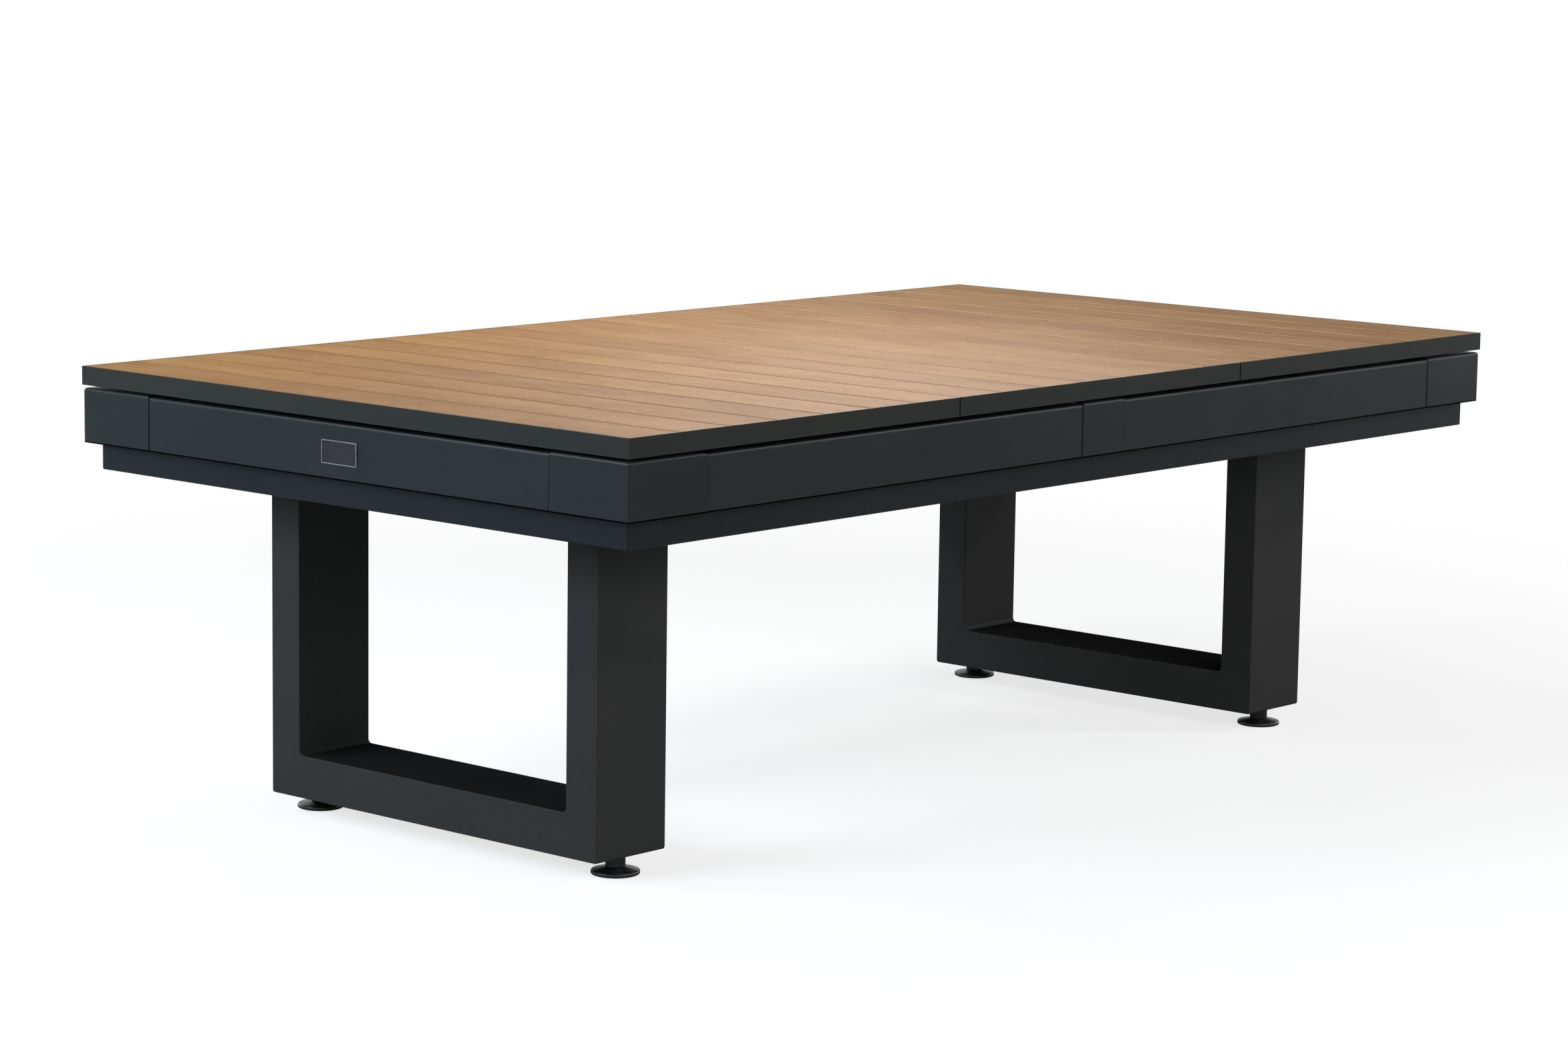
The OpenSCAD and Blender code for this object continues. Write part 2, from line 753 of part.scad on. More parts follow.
// A panel's two ends along the table; third is -1, 0 or 1
function panel_from(third) = third < 0 ? -top_x : (third - 0.5) * panel_l + panel_joint / 2;
function panel_to(third) = third > 0 ? top_x : (third + 0.5) * panel_l - panel_joint / 2;

module panel_frame(third) {
    x0 = panel_from(third);
    x1 = panel_to(third);
    color(coat) {
        // rim, on the outer sides only
        for (y = [-top_y, top_y - rim_t]) box([x0, y, rim_z], [x1, y + rim_t, table_h]);
        if (third < 0) box([x0, -top_y, rim_z], [x0 + rim_t, top_y, table_h]);
        if (third > 0) box([x1 - rim_t, -top_y, rim_z], [x1, top_y, table_h]);
        // bars under the slats
        for (k = [0:bar_count - 1]) {
            y = (k - (bar_count - 1) / 2) * bar_pitch;
            box([x0, y - bar_w / 2, rim_z], [x1, y + bar_w / 2, slat_low_z]);
        }
        for (x = [x0, x1 - bar_w]) box([x, -top_y, rim_z], [x + bar_w, top_y, slat_low_z]);
    }
}

module slats(third) {
    x0 = panel_from(third) + (third < 0 ? rim_t + slat_margin : 0);
    x1 = panel_to(third) - (third > 0 ? rim_t + slat_margin : 0);
    w = (x1 - x0 - (slat_count - 1) * slat_gap) / slat_count;
    half = top_y - rim_t - slat_margin;
    b = slat_bevel;
    color(teak) for (k = [0:slat_count - 1])
        translate([x0 + k * (w + slat_gap), half, slat_low_z]) rotate([90, 0, 0]) linear_extrude(2 * half)
            polygon([[0, 0], [w, 0], [w, slat_t - b], [w - b, slat_t], [b, slat_t], [0, slat_t - b]]);
}

module panel_buffers(third) {
    y = top_y - rim_t - bar_w / 2;
    beside_block = side_rail_to - buffer_clear - buffer_d / 2;
    a = third < 0 ? -beside_block : panel_from(third) + buffer_in;
    b = third > 0 ? beside_block : panel_to(third) - (third < 0 ? buffer_joint_in : buffer_in);
    color("#161616") for (x = [a, b], side = [-1, 1])
        translate([x, side * y, rail_z + seat]) cylinder(d = buffer_d, h = buffer_h - seat);
}

// ---- The nodes ----

leg_frame(-leg_x);  // leg_frame_left
leg_frame(leg_x);  // leg_frame_right
leg_bolts();
leveller_bushes();
long_beams();
cross_members();
skirt(true, -1);  // skirt_near
skirt(true, 1);  // skirt_far
skirt(false, -1);  // skirt_left
skirt(false, 1);  // skirt_right
slate(-1);  // slate_left
slate(0);  // slate_centre
slate(1);  // slate_right
slate_screws();
bed_cloth();
side_rail(-1, -1);  // rail_near_left
side_rail(1, -1);  // rail_near_right
side_rail(-1, 1);  // rail_far_left
side_rail(1, 1);  // rail_far_right
end_rail(-1);  // rail_left
end_rail(1);  // rail_right
rail_bolts();
rail_sights();
side_cushion(-1, -1);  // cushion_near_left
side_cushion(1, -1);  // cushion_near_right
side_cushion(-1, 1);  // cushion_far_left
side_cushion(1, 1);  // cushion_far_right
end_cushion(-1);  // cushion_left
end_cushion(1);  // cushion_right
corner_block(-1, -1);  // corner_block_near_left
corner_block(1, -1);  // corner_block_near_right
corner_block(-1, 1);  // corner_block_far_left
corner_block(1, 1);  // corner_block_far_right
side_block(-1);  // side_block_near
side_block(1);  // side_block_far
corner_cup(-1, -1);  // corner_cup_near_left
corner_cup(1, -1);  // corner_cup_near_right
corner_cup(-1, 1);  // corner_cup_far_left
corner_cup(1, 1);  // corner_cup_far_right
side_cup(-1);  // side_cup_near
side_cup(1);  // side_cup_far
nameplate();
foot_pad(-leg_x, -post_y);  // foot_pad_near_left
foot_pad(leg_x, -post_y);  // foot_pad_near_right
foot_pad(-leg_x, post_y);  // foot_pad_far_left
foot_pad(leg_x, post_y);  // foot_pad_far_right
foot_stem(-leg_x, -post_y);  // foot_stem_near_left
foot_stem(leg_x, -post_y);  // foot_stem_near_right
foot_stem(-leg_x, post_y);  // foot_stem_far_left
foot_stem(leg_x, post_y);  // foot_stem_far_right
panel_frame(-1);  // panel_frame_left
panel_frame(0);  // panel_frame_centre
panel_frame(1);  // panel_frame_right
slats(-1);  // slats_left
slats(0);  // slats_centre
slats(1);  // slats_right
panel_buffers(-1);  // panel_buffers_left
panel_buffers(0);  // panel_buffers_centre
panel_buffers(1);  // panel_buffers_right
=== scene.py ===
# %% [markdown]
# # Dressing an outdoor pool table
# The table has coated metal rails and leg frames, cast pocket blocks, cloth-covered cushions on a
# slate bed, and three slatted panels that lie on the rails as a dining top. A CAD model fixes
# every size and place. Blender adds what its solids lack: soft edges, grain, weave, threads and
# light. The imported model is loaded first, because all places below are read from its pieces.

# %% Load the CAD frame
import math

import bmesh
import bpy
from mathutils import Matrix, Vector


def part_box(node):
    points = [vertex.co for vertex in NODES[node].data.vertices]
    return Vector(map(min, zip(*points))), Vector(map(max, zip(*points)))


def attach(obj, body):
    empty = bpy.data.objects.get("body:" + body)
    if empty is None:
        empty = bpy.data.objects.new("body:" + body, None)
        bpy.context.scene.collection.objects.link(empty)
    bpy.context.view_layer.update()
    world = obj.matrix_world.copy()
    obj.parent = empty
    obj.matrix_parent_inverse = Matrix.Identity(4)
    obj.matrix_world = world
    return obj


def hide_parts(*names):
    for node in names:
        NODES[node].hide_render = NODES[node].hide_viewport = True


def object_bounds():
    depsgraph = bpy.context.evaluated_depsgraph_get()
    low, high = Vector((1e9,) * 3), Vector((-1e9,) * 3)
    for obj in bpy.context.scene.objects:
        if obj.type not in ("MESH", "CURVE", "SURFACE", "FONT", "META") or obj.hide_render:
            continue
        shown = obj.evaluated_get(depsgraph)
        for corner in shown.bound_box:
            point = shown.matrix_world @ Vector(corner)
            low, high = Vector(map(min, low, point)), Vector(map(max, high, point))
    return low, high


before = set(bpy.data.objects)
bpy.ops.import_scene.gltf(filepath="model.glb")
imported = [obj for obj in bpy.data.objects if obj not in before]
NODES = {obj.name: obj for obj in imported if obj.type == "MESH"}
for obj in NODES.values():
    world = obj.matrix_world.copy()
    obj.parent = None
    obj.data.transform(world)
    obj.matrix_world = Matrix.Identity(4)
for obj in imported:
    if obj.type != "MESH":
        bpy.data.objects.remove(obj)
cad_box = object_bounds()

MM = 0.001
print("loaded", len(NODES), "pieces, size", [round(v, 4) for v in cad_box[1] - cad_box[0]])

# %% [markdown]
# ## Camera
# The view is a long lens from beyond the nameplate's end, a little above the top. The camera is
# set by its three axes, because a camera that only tracks a point would lose the slight roll.

# %% Camera
CAMERA_AT = Vector((-6.0395, -5.2767, 1.6661))
LENS, SENSOR = 97.2, 36  # focal length and sensor width in millimetres
SEES_TO = 500  # metres
LOOK = Vector((0.7393, 0.657, -0.1477)).normalized()
RIGHT = Vector((0.6658, -0.746, 0.0144)).normalized()
bpy.ops.object.camera_add()
camera = bpy.context.object
camera.data.lens = LENS
camera.data.sensor_width = SENSOR
camera.data.clip_end = SEES_TO
axes = Matrix((RIGHT, RIGHT.cross(LOOK), -LOOK)).transposed()
camera.matrix_world = Matrix.Translation(CAMERA_AT) @ axes.to_4x4()
bpy.context.scene.camera = camera
print("camera", [round(v, 3) for v in CAMERA_AT], "lens", LENS)

# %% [markdown]
# ## Node helpers
# Every finish is a small node tree. These helpers keep the trees readable: they add a node and
# fill its sockets by name, make the few patterns that all finishes share, and start and end a
# material.

# %% Node helpers
def paint(code):
    """A colour written as six hex digits, as Blender's linear colour."""
    parts = [int(code[i:i + 2], 16) / 255 for i in (0, 2, 4)]
    return (*[p / 12.92 if p <= 0.04045 else ((p + 0.055) / 1.055) ** 2.4 for p in parts], 1)


def feed(tree, socket, value):
    """Gives a socket a value, or the output that feeds it."""
    if isinstance(value, bpy.types.NodeSocket):
        tree.links.new(value, socket)
    else:
        socket.default_value = value


def node(tree, kind, **sockets):
    """Adds a node and fills its sockets by name."""
    made = tree.nodes.new("ShaderNode" + kind)
    for name, value in sockets.items():
        feed(tree, made.inputs[name.replace("_", " ")], value)
    return made


def maths(tree, operation, *values, kind="Math"):
    """A sum such as MAXIMUM, on values or outputs."""
    made = tree.nodes.new("ShaderNode" + kind)
    made.operation = operation
    for socket, value in zip(made.inputs, values):
        feed(tree, socket, value)
    return made.outputs[0]

# %% Patterns
def place(tree, scale, vector=None):
    """Object coordinates, or the vector given, times a scale a metre: one for all, or three."""
    vector = vector or node(tree, "TexCoord").outputs["Object"]
    scale = scale if isinstance(scale, tuple) else (scale,) * 3
    return node(tree, "Mapping", Vector=vector, Scale=scale).outputs["Vector"]


def noise(tree, scale, detail=3.0, roughness=0.55, vector=None):
    """Noise from 0 to 1, with its scale as for place."""
    made = node(tree, "TexNoise", Vector=place(tree, scale, vector), Scale=1.0, Detail=detail,
                Roughness=roughness)
    return made.outputs["Fac"]


def ramp(tree, factor, *stops):
    """A colour ramp. A stop is its place, then a hex code, a grey, or red, green and blue."""
    made = node(tree, "ValToRGB", Fac=factor)
    line = made.color_ramp.elements
    while len(line) < len(stops):
        line.new(0.5)
    for point, (where, *tone) in zip(line, stops):
        point.position = where
        point.color = paint(*tone) if isinstance(tone[0], str) else (*tone * (3 // len(tone)), 1)
    return made.outputs["Color"]


def mix(tree, factor, a, b, blend="MIX"):
    """Mixes two colours."""
    made = tree.nodes.new("ShaderNodeMix")
    made.data_type, made.blend_type = "RGBA", blend
    for socket, value in zip((made.inputs[0], made.inputs[6], made.inputs[7]), (factor, a, b)):
        feed(tree, socket, value)
    return made.outputs[2]


def multiply(tree, colour, *tints):
    for tint in tints:
        colour = mix(tree, 1.0, colour, tint, "MULTIPLY")
    return colour


def between(tree, value, low, high):
    """A 0 to 1 value spread between two numbers, as for roughness."""
    return node(tree, "MapRange", Value=value, To_Min=low, To_Max=high).outputs["Result"]


def rise(tree, value, start, stop, top=1.0):
    """Rises from 0 to the top while a value runs from start to stop."""
    made = node(tree, "MapRange", Value=value, From_Min=start, From_Max=stop, To_Max=top)
    return made.outputs["Result"]

# %% Start and end a finish
def start_finish(name, roughness, specular=0.5, metallic=0.0):
    """A new material, its node tree and its shader."""
    made = bpy.data.materials.new(name)
    made.use_nodes = True
    shader = made.node_tree.nodes["Principled BSDF"]
    shader.inputs["Roughness"].default_value = roughness
    shader.inputs["Specular IOR Level"].default_value = specular
    shader.inputs["Metallic"].default_value = metallic
    return made, made.node_tree, shader


def end_finish(tree, shader, colour, gloss, height, depth):
    """Links colour, gloss and a bump, whose height from 0 to 1 stands for a depth in metres."""
    tree.links.new(colour, shader.inputs["Base Color"])
    tree.links.new(gloss, shader.inputs["Roughness"])
    bump = node(tree, "Bump", Height=height, Distance=depth, Strength=1.0)
    tree.links.new(bump.outputs["Normal"], shader.inputs["Normal"])


print("helpers ready")

# %% [markdown]
# ## Studio
# The table stands on a pale floor that runs out to white, so its shadow is all that marks the
# ground. A white floor could be had by flooding it with light, but that would bleach the table
# too. Here only the camera sees the floor brighter than it is, and it fades to plain white with
# distance.

# %% Floor
def fresh():
    """Back to object mode with nothing selected."""
    if bpy.context.object and bpy.context.object.mode != "OBJECT":
        bpy.ops.object.mode_set(mode="OBJECT")
    bpy.ops.object.select_all(action="DESELECT")


FLOOR_SIZE = 400
fresh()
bpy.ops.mesh.primitive_plane_add(size=FLOOR_SIZE)
floor = bpy.context.object
floor.name = "floor"

# %% [markdown]
# The floor's shader has three parts: what the table's own light meets, which is a plain grey; what
# the camera sees near the table, which is mostly glow and partly shaded, so that the shadow stays;
# and what it sees further out, which is white. From below the floor is clear, to show the
# underside.

# %% Floor's finish
FLOOR_GREY = 0.6  # what lights the table from below
FLOOR_SHADED = 0.4  # share of the seen floor that takes shadow
FLOOR_GLOW = 0.72  # how bright its deepest shadow still looks
FADE_FROM, FADE_TO = 2.0, 4.0  # metres from the middle


def join_shaders(tree, kind, *parts):
    """Joins two shaders; what mixes them comes before them."""
    made = tree.nodes.new("ShaderNode" + kind)
    for socket, part in zip(made.inputs, parts):
        tree.links.new(part, socket)
    return made.outputs[0]


white_floor = bpy.data.materials.new("white_floor")
white_floor.use_nodes = True
tree = white_floor.node_tree
tree.nodes.clear()
real, shaded = (node(tree, "BsdfDiffuse", Color=(grey, grey, grey, 1)).outputs[0]
                for grey in (FLOOR_GREY, FLOOR_SHADED))
glow, white = (node(tree, "Emission", Strength=power).outputs[0] for power in (FLOOR_GLOW, 1.0))
distance = node(tree, "VectorMath", Vector=node(tree, "TexCoord").outputs["Object"])
distance.operation = "LENGTH"
fade = node(tree, "MapRange", Value=distance.outputs["Value"], From_Min=FADE_FROM, From_Max=FADE_TO)
fade.interpolation_type = "SMOOTHSTEP"
near = join_shaders(tree, "AddShader", shaded, glow)
seen = join_shaders(tree, "MixShader", fade.outputs["Result"], near, white)
camera_ray = node(tree, "LightPath").outputs["Is Camera Ray"]
whole = join_shaders(tree, "MixShader", camera_ray, real, seen)
from_below = node(tree, "NewGeometry").outputs["Backfacing"]
clear = node(tree, "BsdfTransparent").outputs[0]
surface = join_shaders(tree, "MixShader", from_below, whole, clear)
node(tree, "OutputMaterial", Surface=surface)
floor.data.materials.append(white_floor)

# %% [markdown]
# The world is white where the camera, a reflection or a view through glass meets it, and a dim
# grey for everything else. So metal mirrors the white background, and the lamps alone give the
# shading.

# %% World
WORLD_GREY = 0.05
world = bpy.data.worlds.new("studio")
bpy.context.scene.world = world
world.use_nodes = True
tree = world.node_tree
background = tree.nodes["Background"]
rays = node(tree, "LightPath").outputs
mirror = maths(tree, "MAXIMUM", rays["Is Glossy Ray"], rays["Is Transmission Ray"])
any_seen = maths(tree, "MAXIMUM", rays["Is Camera Ray"], mirror)
tree.links.new(between(tree, any_seen, WORLD_GREY, 1.0), background.inputs["Strength"])
background.inputs["Color"].default_value = (1, 1, 1, 1)

# %% [markdown]
# Large soft lamps stand round the table, as softboxes do in a studio: one off each end and each
# side, and a small one overhead. Two narrow ones from behind put a pale sheen on the slats, which
# shows only at a low angle, and two small hard ones draw a thin line of light along every rounded
# edge.

# %% Lamps
LAMPS = {  # place, what it faces, its size, degrees of spread, watts, colour
    "end_box": ((-5.0, 1.4, 2.3), (-0.9, 0.1, 0.6), (2.6, 2.0), 180, 200, "dcebff"),
    "front_box": ((-0.6, -4.8, 2.2), (0, 0, 0.6), (3.6, 2.0), 180, 106, "ffffff"),
    "right_box": ((5.0, -1.2, 1.2), (0.9, 0, 0.5), (2.4, 1.4), 180, 55, "ffffff"),
    "far_box": ((-1.2, 5.0, 1.4), (0, 0, 0.5), (3.4, 1.6), 180, 70, "ffffff"),
    "top_box": ((-0.1, 0.9, 2.4), (-0.1, 0.5, 0.8), (1.2, 0.9), 180, 16, "fffaf2"),
    "sheen_far": ((3.5, 2.9, 2.4), (-0.7, -0.8, 0.8), (1.4, 1.0), 22, 2.2, "ffffff"),
    "sheen_near": ((1.6, 1.2, 2.2), (-0.7, -0.8, 0.8), (0.6, 0.6), 35, 1.5, "ffffff"),
    "end_edges": ((-3.4, 3.25, 3.7), (-1.2, 0, 0.76), (0.5, 0.5), 180, 45, "ffffff"),
    "side_edges": ((3.75, -3.2, 3.2), (0, -0.67, 0.76), (0.5, 0.5), 180, 38, "ffffff"),
}
for name, (at, aim, (wide, high), spread, power, colour) in LAMPS.items():
    bpy.ops.object.light_add(type="AREA", location=at)
    lamp = bpy.context.object
    lamp.name = name
    lamp.rotation_euler = (Vector(aim) - Vector(at)).to_track_quat("-Z", "Y").to_euler()
    lamp.visible_camera = False
    lamp.data.shape = "RECTANGLE"
    lamp.data.size, lamp.data.size_y = wide, high
    lamp.data.spread = math.radians(spread)
    lamp.data.energy = power
    lamp.data.color = paint(colour)[:3]
print("lamps", list(LAMPS))

# %% [markdown]
# ## Powder coat
# Rails, skirts, leg frames and rims are powder-coated in anthracite. The powder melts into a skin
# with a faint orange peel, so the gloss is broken at about a millimetre, and large faces drift a
# little in tone. One function makes all the coats, each a touch lighter, darker or coarser. The
# lowest few millimetres of the rails and blocks get a nearly black one as painted shade, which
# draws a dark line along them.

# %% Powder coats
DRIFT, SPECKS, PATCHES, PEEL = (2.2, 2.2, 4.5), 420, 9, 650  # waves a metre
FINE, MEDIUM, COARSE = 0.000012, 0.000015, 0.00002  # depth of the peel in metres
SMOOTHER, ROUGHER = 0.04, 0.05  # how far the gloss strays either way


def coat(name, dark, light, roughness, peel, specular):
    made, tree, shader = start_finish(name, roughness, specular)
    tone = ramp(tree, noise(tree, DRIFT, 4), (0.3, dark), (0.7, light))
    specks = ramp(tree, noise(tree, SPECKS, 2), (0.4, 0.93), (0.62, 1.05))
    gloss = between(tree, noise(tree, PATCHES, 5), roughness - SMOOTHER, roughness + ROUGHER)
    end_finish(tree, shader, multiply(tree, tone, specks), gloss, noise(tree, PEEL, 1), peel)
    return made


# name, darkest and lightest, roughness, peel, specular
rail_coat = coat("rail_coat", "23282a", "282d2d", 0.33, FINE, 0.14)
block_coat = coat("block_coat", "222729", "272c2b", 0.33, COARSE, 0.14)
frame_coat = coat("frame_coat", "303131", "363635", 0.66, COARSE, 0.06)
# painted shade: the bar tops' coat is matt and darker, standing in for shade from the table above
shaded_bar_coat = coat("shaded_bar_coat", "1f1f1f", "252524", 0.9, COARSE, 0)
# painted shade: a nearly black coat for the lowest strip of the rails and blocks, drawing the dark
# line under them
painted_shade_coat = coat("painted_shade_coat", "060606", "090909", 0.9, COARSE, 0)
# painted shade in part: the skirt's coat is darker than the rails', standing for shade under the
# rails' overhang
shaded_skirt_coat = coat("shaded_skirt_coat", "181d20", "1c2225", 0.4, MEDIUM, 0.12)
rim_coat = coat("rim_coat", "232624", "272a27", 0.6, MEDIUM, 0.12)

# %% [markdown]
# ## Slats
# The slats are a brushed composite in a teak tone: short soft streaks along each board, a fine
# speckle, pale clouds where the brushing went deeper, a tone of its own for each board, and
# slightly darker edges. Towards the right end the bevels get a painted highlight, so they show as
# light lines, and towards the near side the top gets a painted sheen, paler and cooler. A
# vector stored on each board holds a number that shifts its pattern, so that no grain runs on
# across a gap, and the place of its middle, from which the edges are found.

# %% Slats
SLAT_DARK, SLAT_MID, SLAT_LIGHT = "946e43", "a57b4a", "b58a59"
STREAKS, SPECKLE, MOTTLE, CLOUDS = (330, 130, 330), (520, 300, 520), (70, 45, 70), (10, 3.4, 10)
BOARD_SHIFT = (31.7, 17.3, 5.1)
EDGE_FROM, EDGE_TO = 36 * MM, 56 * MM  # from a board's middle
BEVEL_FROM, BEVEL_TO = 55.2 * MM, 55.9 * MM
GLINT_FROM, GLINT_TO = -0.5, 0.4  # along the table, where the bevels get a painted highlight
GRAIN_DEPTH, SLAT_ROUGH, SLAT_SPECULAR = 0.3 * MM, 0.8, 0.12
SLAT_GLOSS = 0.72, 0.88  # lowest and highest roughness
TOP_HALF_Y = cad_box[1].y


def slat_finish():
    made, tree, shader = start_finish("slat", SLAT_ROUGH, SLAT_SPECULAR)
    mark = node(tree, "Attribute")
    mark.attribute_name = "board"
    number, middle, _ = node(tree, "SeparateXYZ", Vector=mark.outputs["Vector"]).outputs
    spot = node(tree, "TexCoord").outputs["Object"]
    x, y, _ = node(tree, "SeparateXYZ", Vector=spot).outputs
    own = maths(tree, "MULTIPLY_ADD", number, BOARD_SHIFT, spot, kind="VectorMath")
    streak = noise(tree, STREAKS, 5, 0.66, own)
    speckle = noise(tree, SPECKLE, 4, 0.7, own)
    mottle = noise(tree, MOTTLE, 5, 0.6, own)
    cloud = noise(tree, CLOUDS, 7, 0.64, own)
    away = maths(tree, "ABSOLUTE", maths(tree, "SUBTRACT", x, middle))
    edge = rise(tree, away, EDGE_FROM, EDGE_TO)
    bevel = rise(tree, away, BEVEL_FROM, BEVEL_TO)
    # painted highlight: the bevels towards the right end are lightened, standing in for the light
    # they catch there
    painted_glint = rise(tree, x, GLINT_FROM, GLINT_TO, bevel)
    # painted sheen: the top turns paler and cooler towards the near side, standing in for a
    # reflection of the lamps
    painted_sheen = rise(tree, y, TOP_HALF_Y, -TOP_HALF_Y)
    colour = multiply(
        tree,
        ramp(tree, streak, (0.28, SLAT_DARK), (0.5, SLAT_MID), (0.75, SLAT_LIGHT)),
        ramp(tree, cloud, (0.4, 0.9, 0.87, 0.85), (0.5, 1), (0.6, 1.09, 1.13, 1.25)),
        ramp(tree, mottle, (0.34, 0.94, 0.93, 0.92), (0.64, 1.05, 1.06, 1.09)),
        ramp(tree, speckle, (0.32, 0.9, 0.89, 0.88), (0.62, 1.05, 1.06, 1.07)),
        ramp(tree, number, (0.0, 0.9, 0.885, 0.9), (0.5, 1), (1.0, 1.07, 1.08, 1.1)),
        ramp(tree, edge, (0.0, 1), (0.7, 0.96, 0.95, 0.94), (1.0, 0.84, 0.82, 0.8)),
        ramp(tree, painted_glint, (0.0, 1), (1.0, 1.9, 2.5, 4.2)),
        ramp(tree, painted_sheen, (0.0, 1, 0.99, 0.95), (1.0, 1.01, 1.02, 1.22)),
    )
    grain = mix(tree, 0.5, streak, speckle)
    end_finish(tree, shader, colour, between(tree, streak, *SLAT_GLOSS), grain, GRAIN_DEPTH)
    return made


slat_wood = slat_finish()
print("finishes", len(bpy.data.materials))

# %% [markdown]
# ## Hardware and plastics
# Zinc is cool grey with faint crystals, turned steel has fine rings round the axis, and the
# plastics differ by their gloss and their moulded texture. None of them is one flat colour: each
# has a base tone that drifts, and a grain at its own scale that also breaks the gloss.

# %% Grained finishes
BROAD = 14  # waves a metre of the slow drift
GRAIN_SMOOTHER, GRAIN_ROUGHER = 0.07, 0.09


def grained(name, dark, light, roughness, grain, depth, specular, metallic=0.0, stretch=(1, 1, 1)):
    """grain is the number of grains a metre, and depth how far they stand out in metres."""
    made, tree, shader = start_finish(name, roughness, specular, metallic)
    fine = noise(tree, tuple(grain * s for s in stretch), 4)
    tone = ramp(tree, fine, (0.3, dark), (0.7, light))
    drift = ramp(tree, noise(tree, BROAD), (0.3, 0.86), (0.7, 1.1))
    gloss = between(tree, fine, roughness - GRAIN_SMOOTHER, roughness + GRAIN_ROUGHER)
    end_finish(tree, shader, multiply(tree, tone, drift), gloss, fine, depth)
    return made


# name, darkest and lightest, roughness, grain, depth, specular, metallic, stretch
slate_grey = grained("honed_slate", "44464a", "595c61", 0.62, 160, 0.00012, 0.3)
zinc = grained("zinc_plate", "8d9194", "b4b7b8", 0.38, 420, 0.00002, 0.5, 1.0)
turned_steel = grained("turned_steel", "85878a", "adb0b2", 0.28, 260, 0.00002, 0.5, 1.0, (1, 1, 14))
black_gloss = grained("black_gloss", "0f0f10", "1a1a1b", 0.22, 300, 0.00002, 0.4)
pad_black = grained("pad_black", "141415", "1f1f20", 0.34, 900, 0.00004, 0.35)
cup_black = grained("cup_black", "131415", "1d1e20", 0.55, 1400, 0.00008, 0.35)
rubber_black = grained("rubber_black", "050505", "090909", 0.85, 1100, 0.00006, 0)
plate_border = grained("plate_border", "8f9092", "b3b3b2", 0.32, 700, 0.00003, 0.5, 1.0,
                       (1, 0.15, 1))
plate_field = grained("plate_field", "1b1c1e", "27282a", 0.5, 800, 0.00006, 0.2, 0.1)

# %% [markdown]
# ## Sights
# The round sights in the rails are pearly plastic: cream with soft swirls under a polished face.

# %% Pearl
SWIRLS = 240  # waves a metre
PEARL_ROUGH, PEARL_GLOSS = 0.16, (0.12, 0.26)
pearl, tree, shader = start_finish("pearl", PEARL_ROUGH)
swirl = noise(tree, SWIRLS, 5, 0.7)
tone = ramp(tree, swirl, (0.3, "cfc9b8"), (0.5, "e6e2d6"), (0.72, "f3f1ea"))
end_finish(tree, shader, tone, between(tree, swirl, *PEARL_GLOSS), swirl, COARSE)

# %% [markdown]
# ## Cloth
# The outdoor cloth is a plain weave with a short nap. Two sets of bands across each other give the
# threads at about a millimetre, a noise breaks them up as fibres do, and a broad, faint drift
# keeps the bed from looking printed. A little sheen gives the nap its pale edge at low angles.

# %% Cloth
THREADS, FIBRES, NAP, FADED = 900, 2600, (90, 60, 90), 2.5  # a metre
WAVE = math.tau / 20  # one wave's length in the wave texture
CLOTH_DARK, CLOTH_LIGHT = "44646e", "587a85"
WEAVE_DEPTH, THREAD_WAVER, FIBRE_SHARE = 0.25 * MM, 1.2, 0.55
FELT_ROUGH, FELT_SPECULAR, FELT_GLOSS = 0.9, 0.15, (0.82, 0.98)
SHEEN, SHEEN_ROUGH = 0.25, 0.5


def felt_finish(name):
    made, tree, shader = start_finish(name, FELT_ROUGH, FELT_SPECULAR)
    shader.inputs["Sheen Weight"].default_value = SHEEN
    shader.inputs["Sheen Roughness"].default_value = SHEEN_ROUGH
    bands = []
    for across in ("X", "Y"):
        band = node(tree, "TexWave", Vector=place(tree, THREADS * WAVE), Scale=1.0,
                    Distortion=THREAD_WAVER, Detail=2.0)
        band.bands_direction = across
        bands.append(band.outputs["Fac"])
    fibre = noise(tree, FIBRES, 4, 0.7)
    threads = mix(tree, FIBRE_SHARE, mix(tree, 0.5, *bands), fibre)
    colour = multiply(
        tree,
        ramp(tree, threads, (0.25, CLOTH_DARK), (0.75, CLOTH_LIGHT)),
        ramp(tree, noise(tree, NAP, 5), (0.3, 0.9), (0.7, 1.08)),
        ramp(tree, noise(tree, FADED, 4), (0.3, 0.93, 0.93, 0.94), (0.7, 1.06, 1.06, 1.05)),
    )
    end_finish(tree, shader, colour, between(tree, fibre, *FELT_GLOSS), threads, WEAVE_DEPTH)
    return made


bed_felt, cushion_felt = felt_finish("bed_felt"), felt_finish("cushion_felt")
print("finishes", len(bpy.data.materials))

# %% [markdown]
# ## Working by hand, in code
# Each new piece is made as it would be at the desk: a primitive is added in its place, opened for
# editing, and a few of its faces or edges are picked and pulled, beveled or cut. These helpers do
# the picking, which at the desk is done by eye and here by where a face or an edge lies.

# %% Starting shapes
TINY = 0.01 * MM
SHARP = math.radians(38)  # edges sharper than this are rounded, or stay crisp in the shading


def named(name):
    piece = bpy.context.object
    piece.name = piece.data.name = name
    return piece


def block(name, low, high):
    """A box between two corners."""
    fresh()
    bpy.ops.mesh.primitive_cube_add(
        size=1,
        location=[(a + b) / 2 for a, b in zip(low, high)],
        scale=[b - a for a, b in zip(low, high)],
    )
    bpy.ops.object.transform_apply()
    return named(name)


def rod(name, centre, radius, low, high, sides=64):
    """An upright cylinder from one level to another."""
    fresh()
    bpy.ops.mesh.primitive_cylinder_add(
        vertices=sides, radius=radius, depth=high - low, location=(*centre, (low + high) / 2)
    )
    bpy.ops.object.transform_apply()
    return named(name)

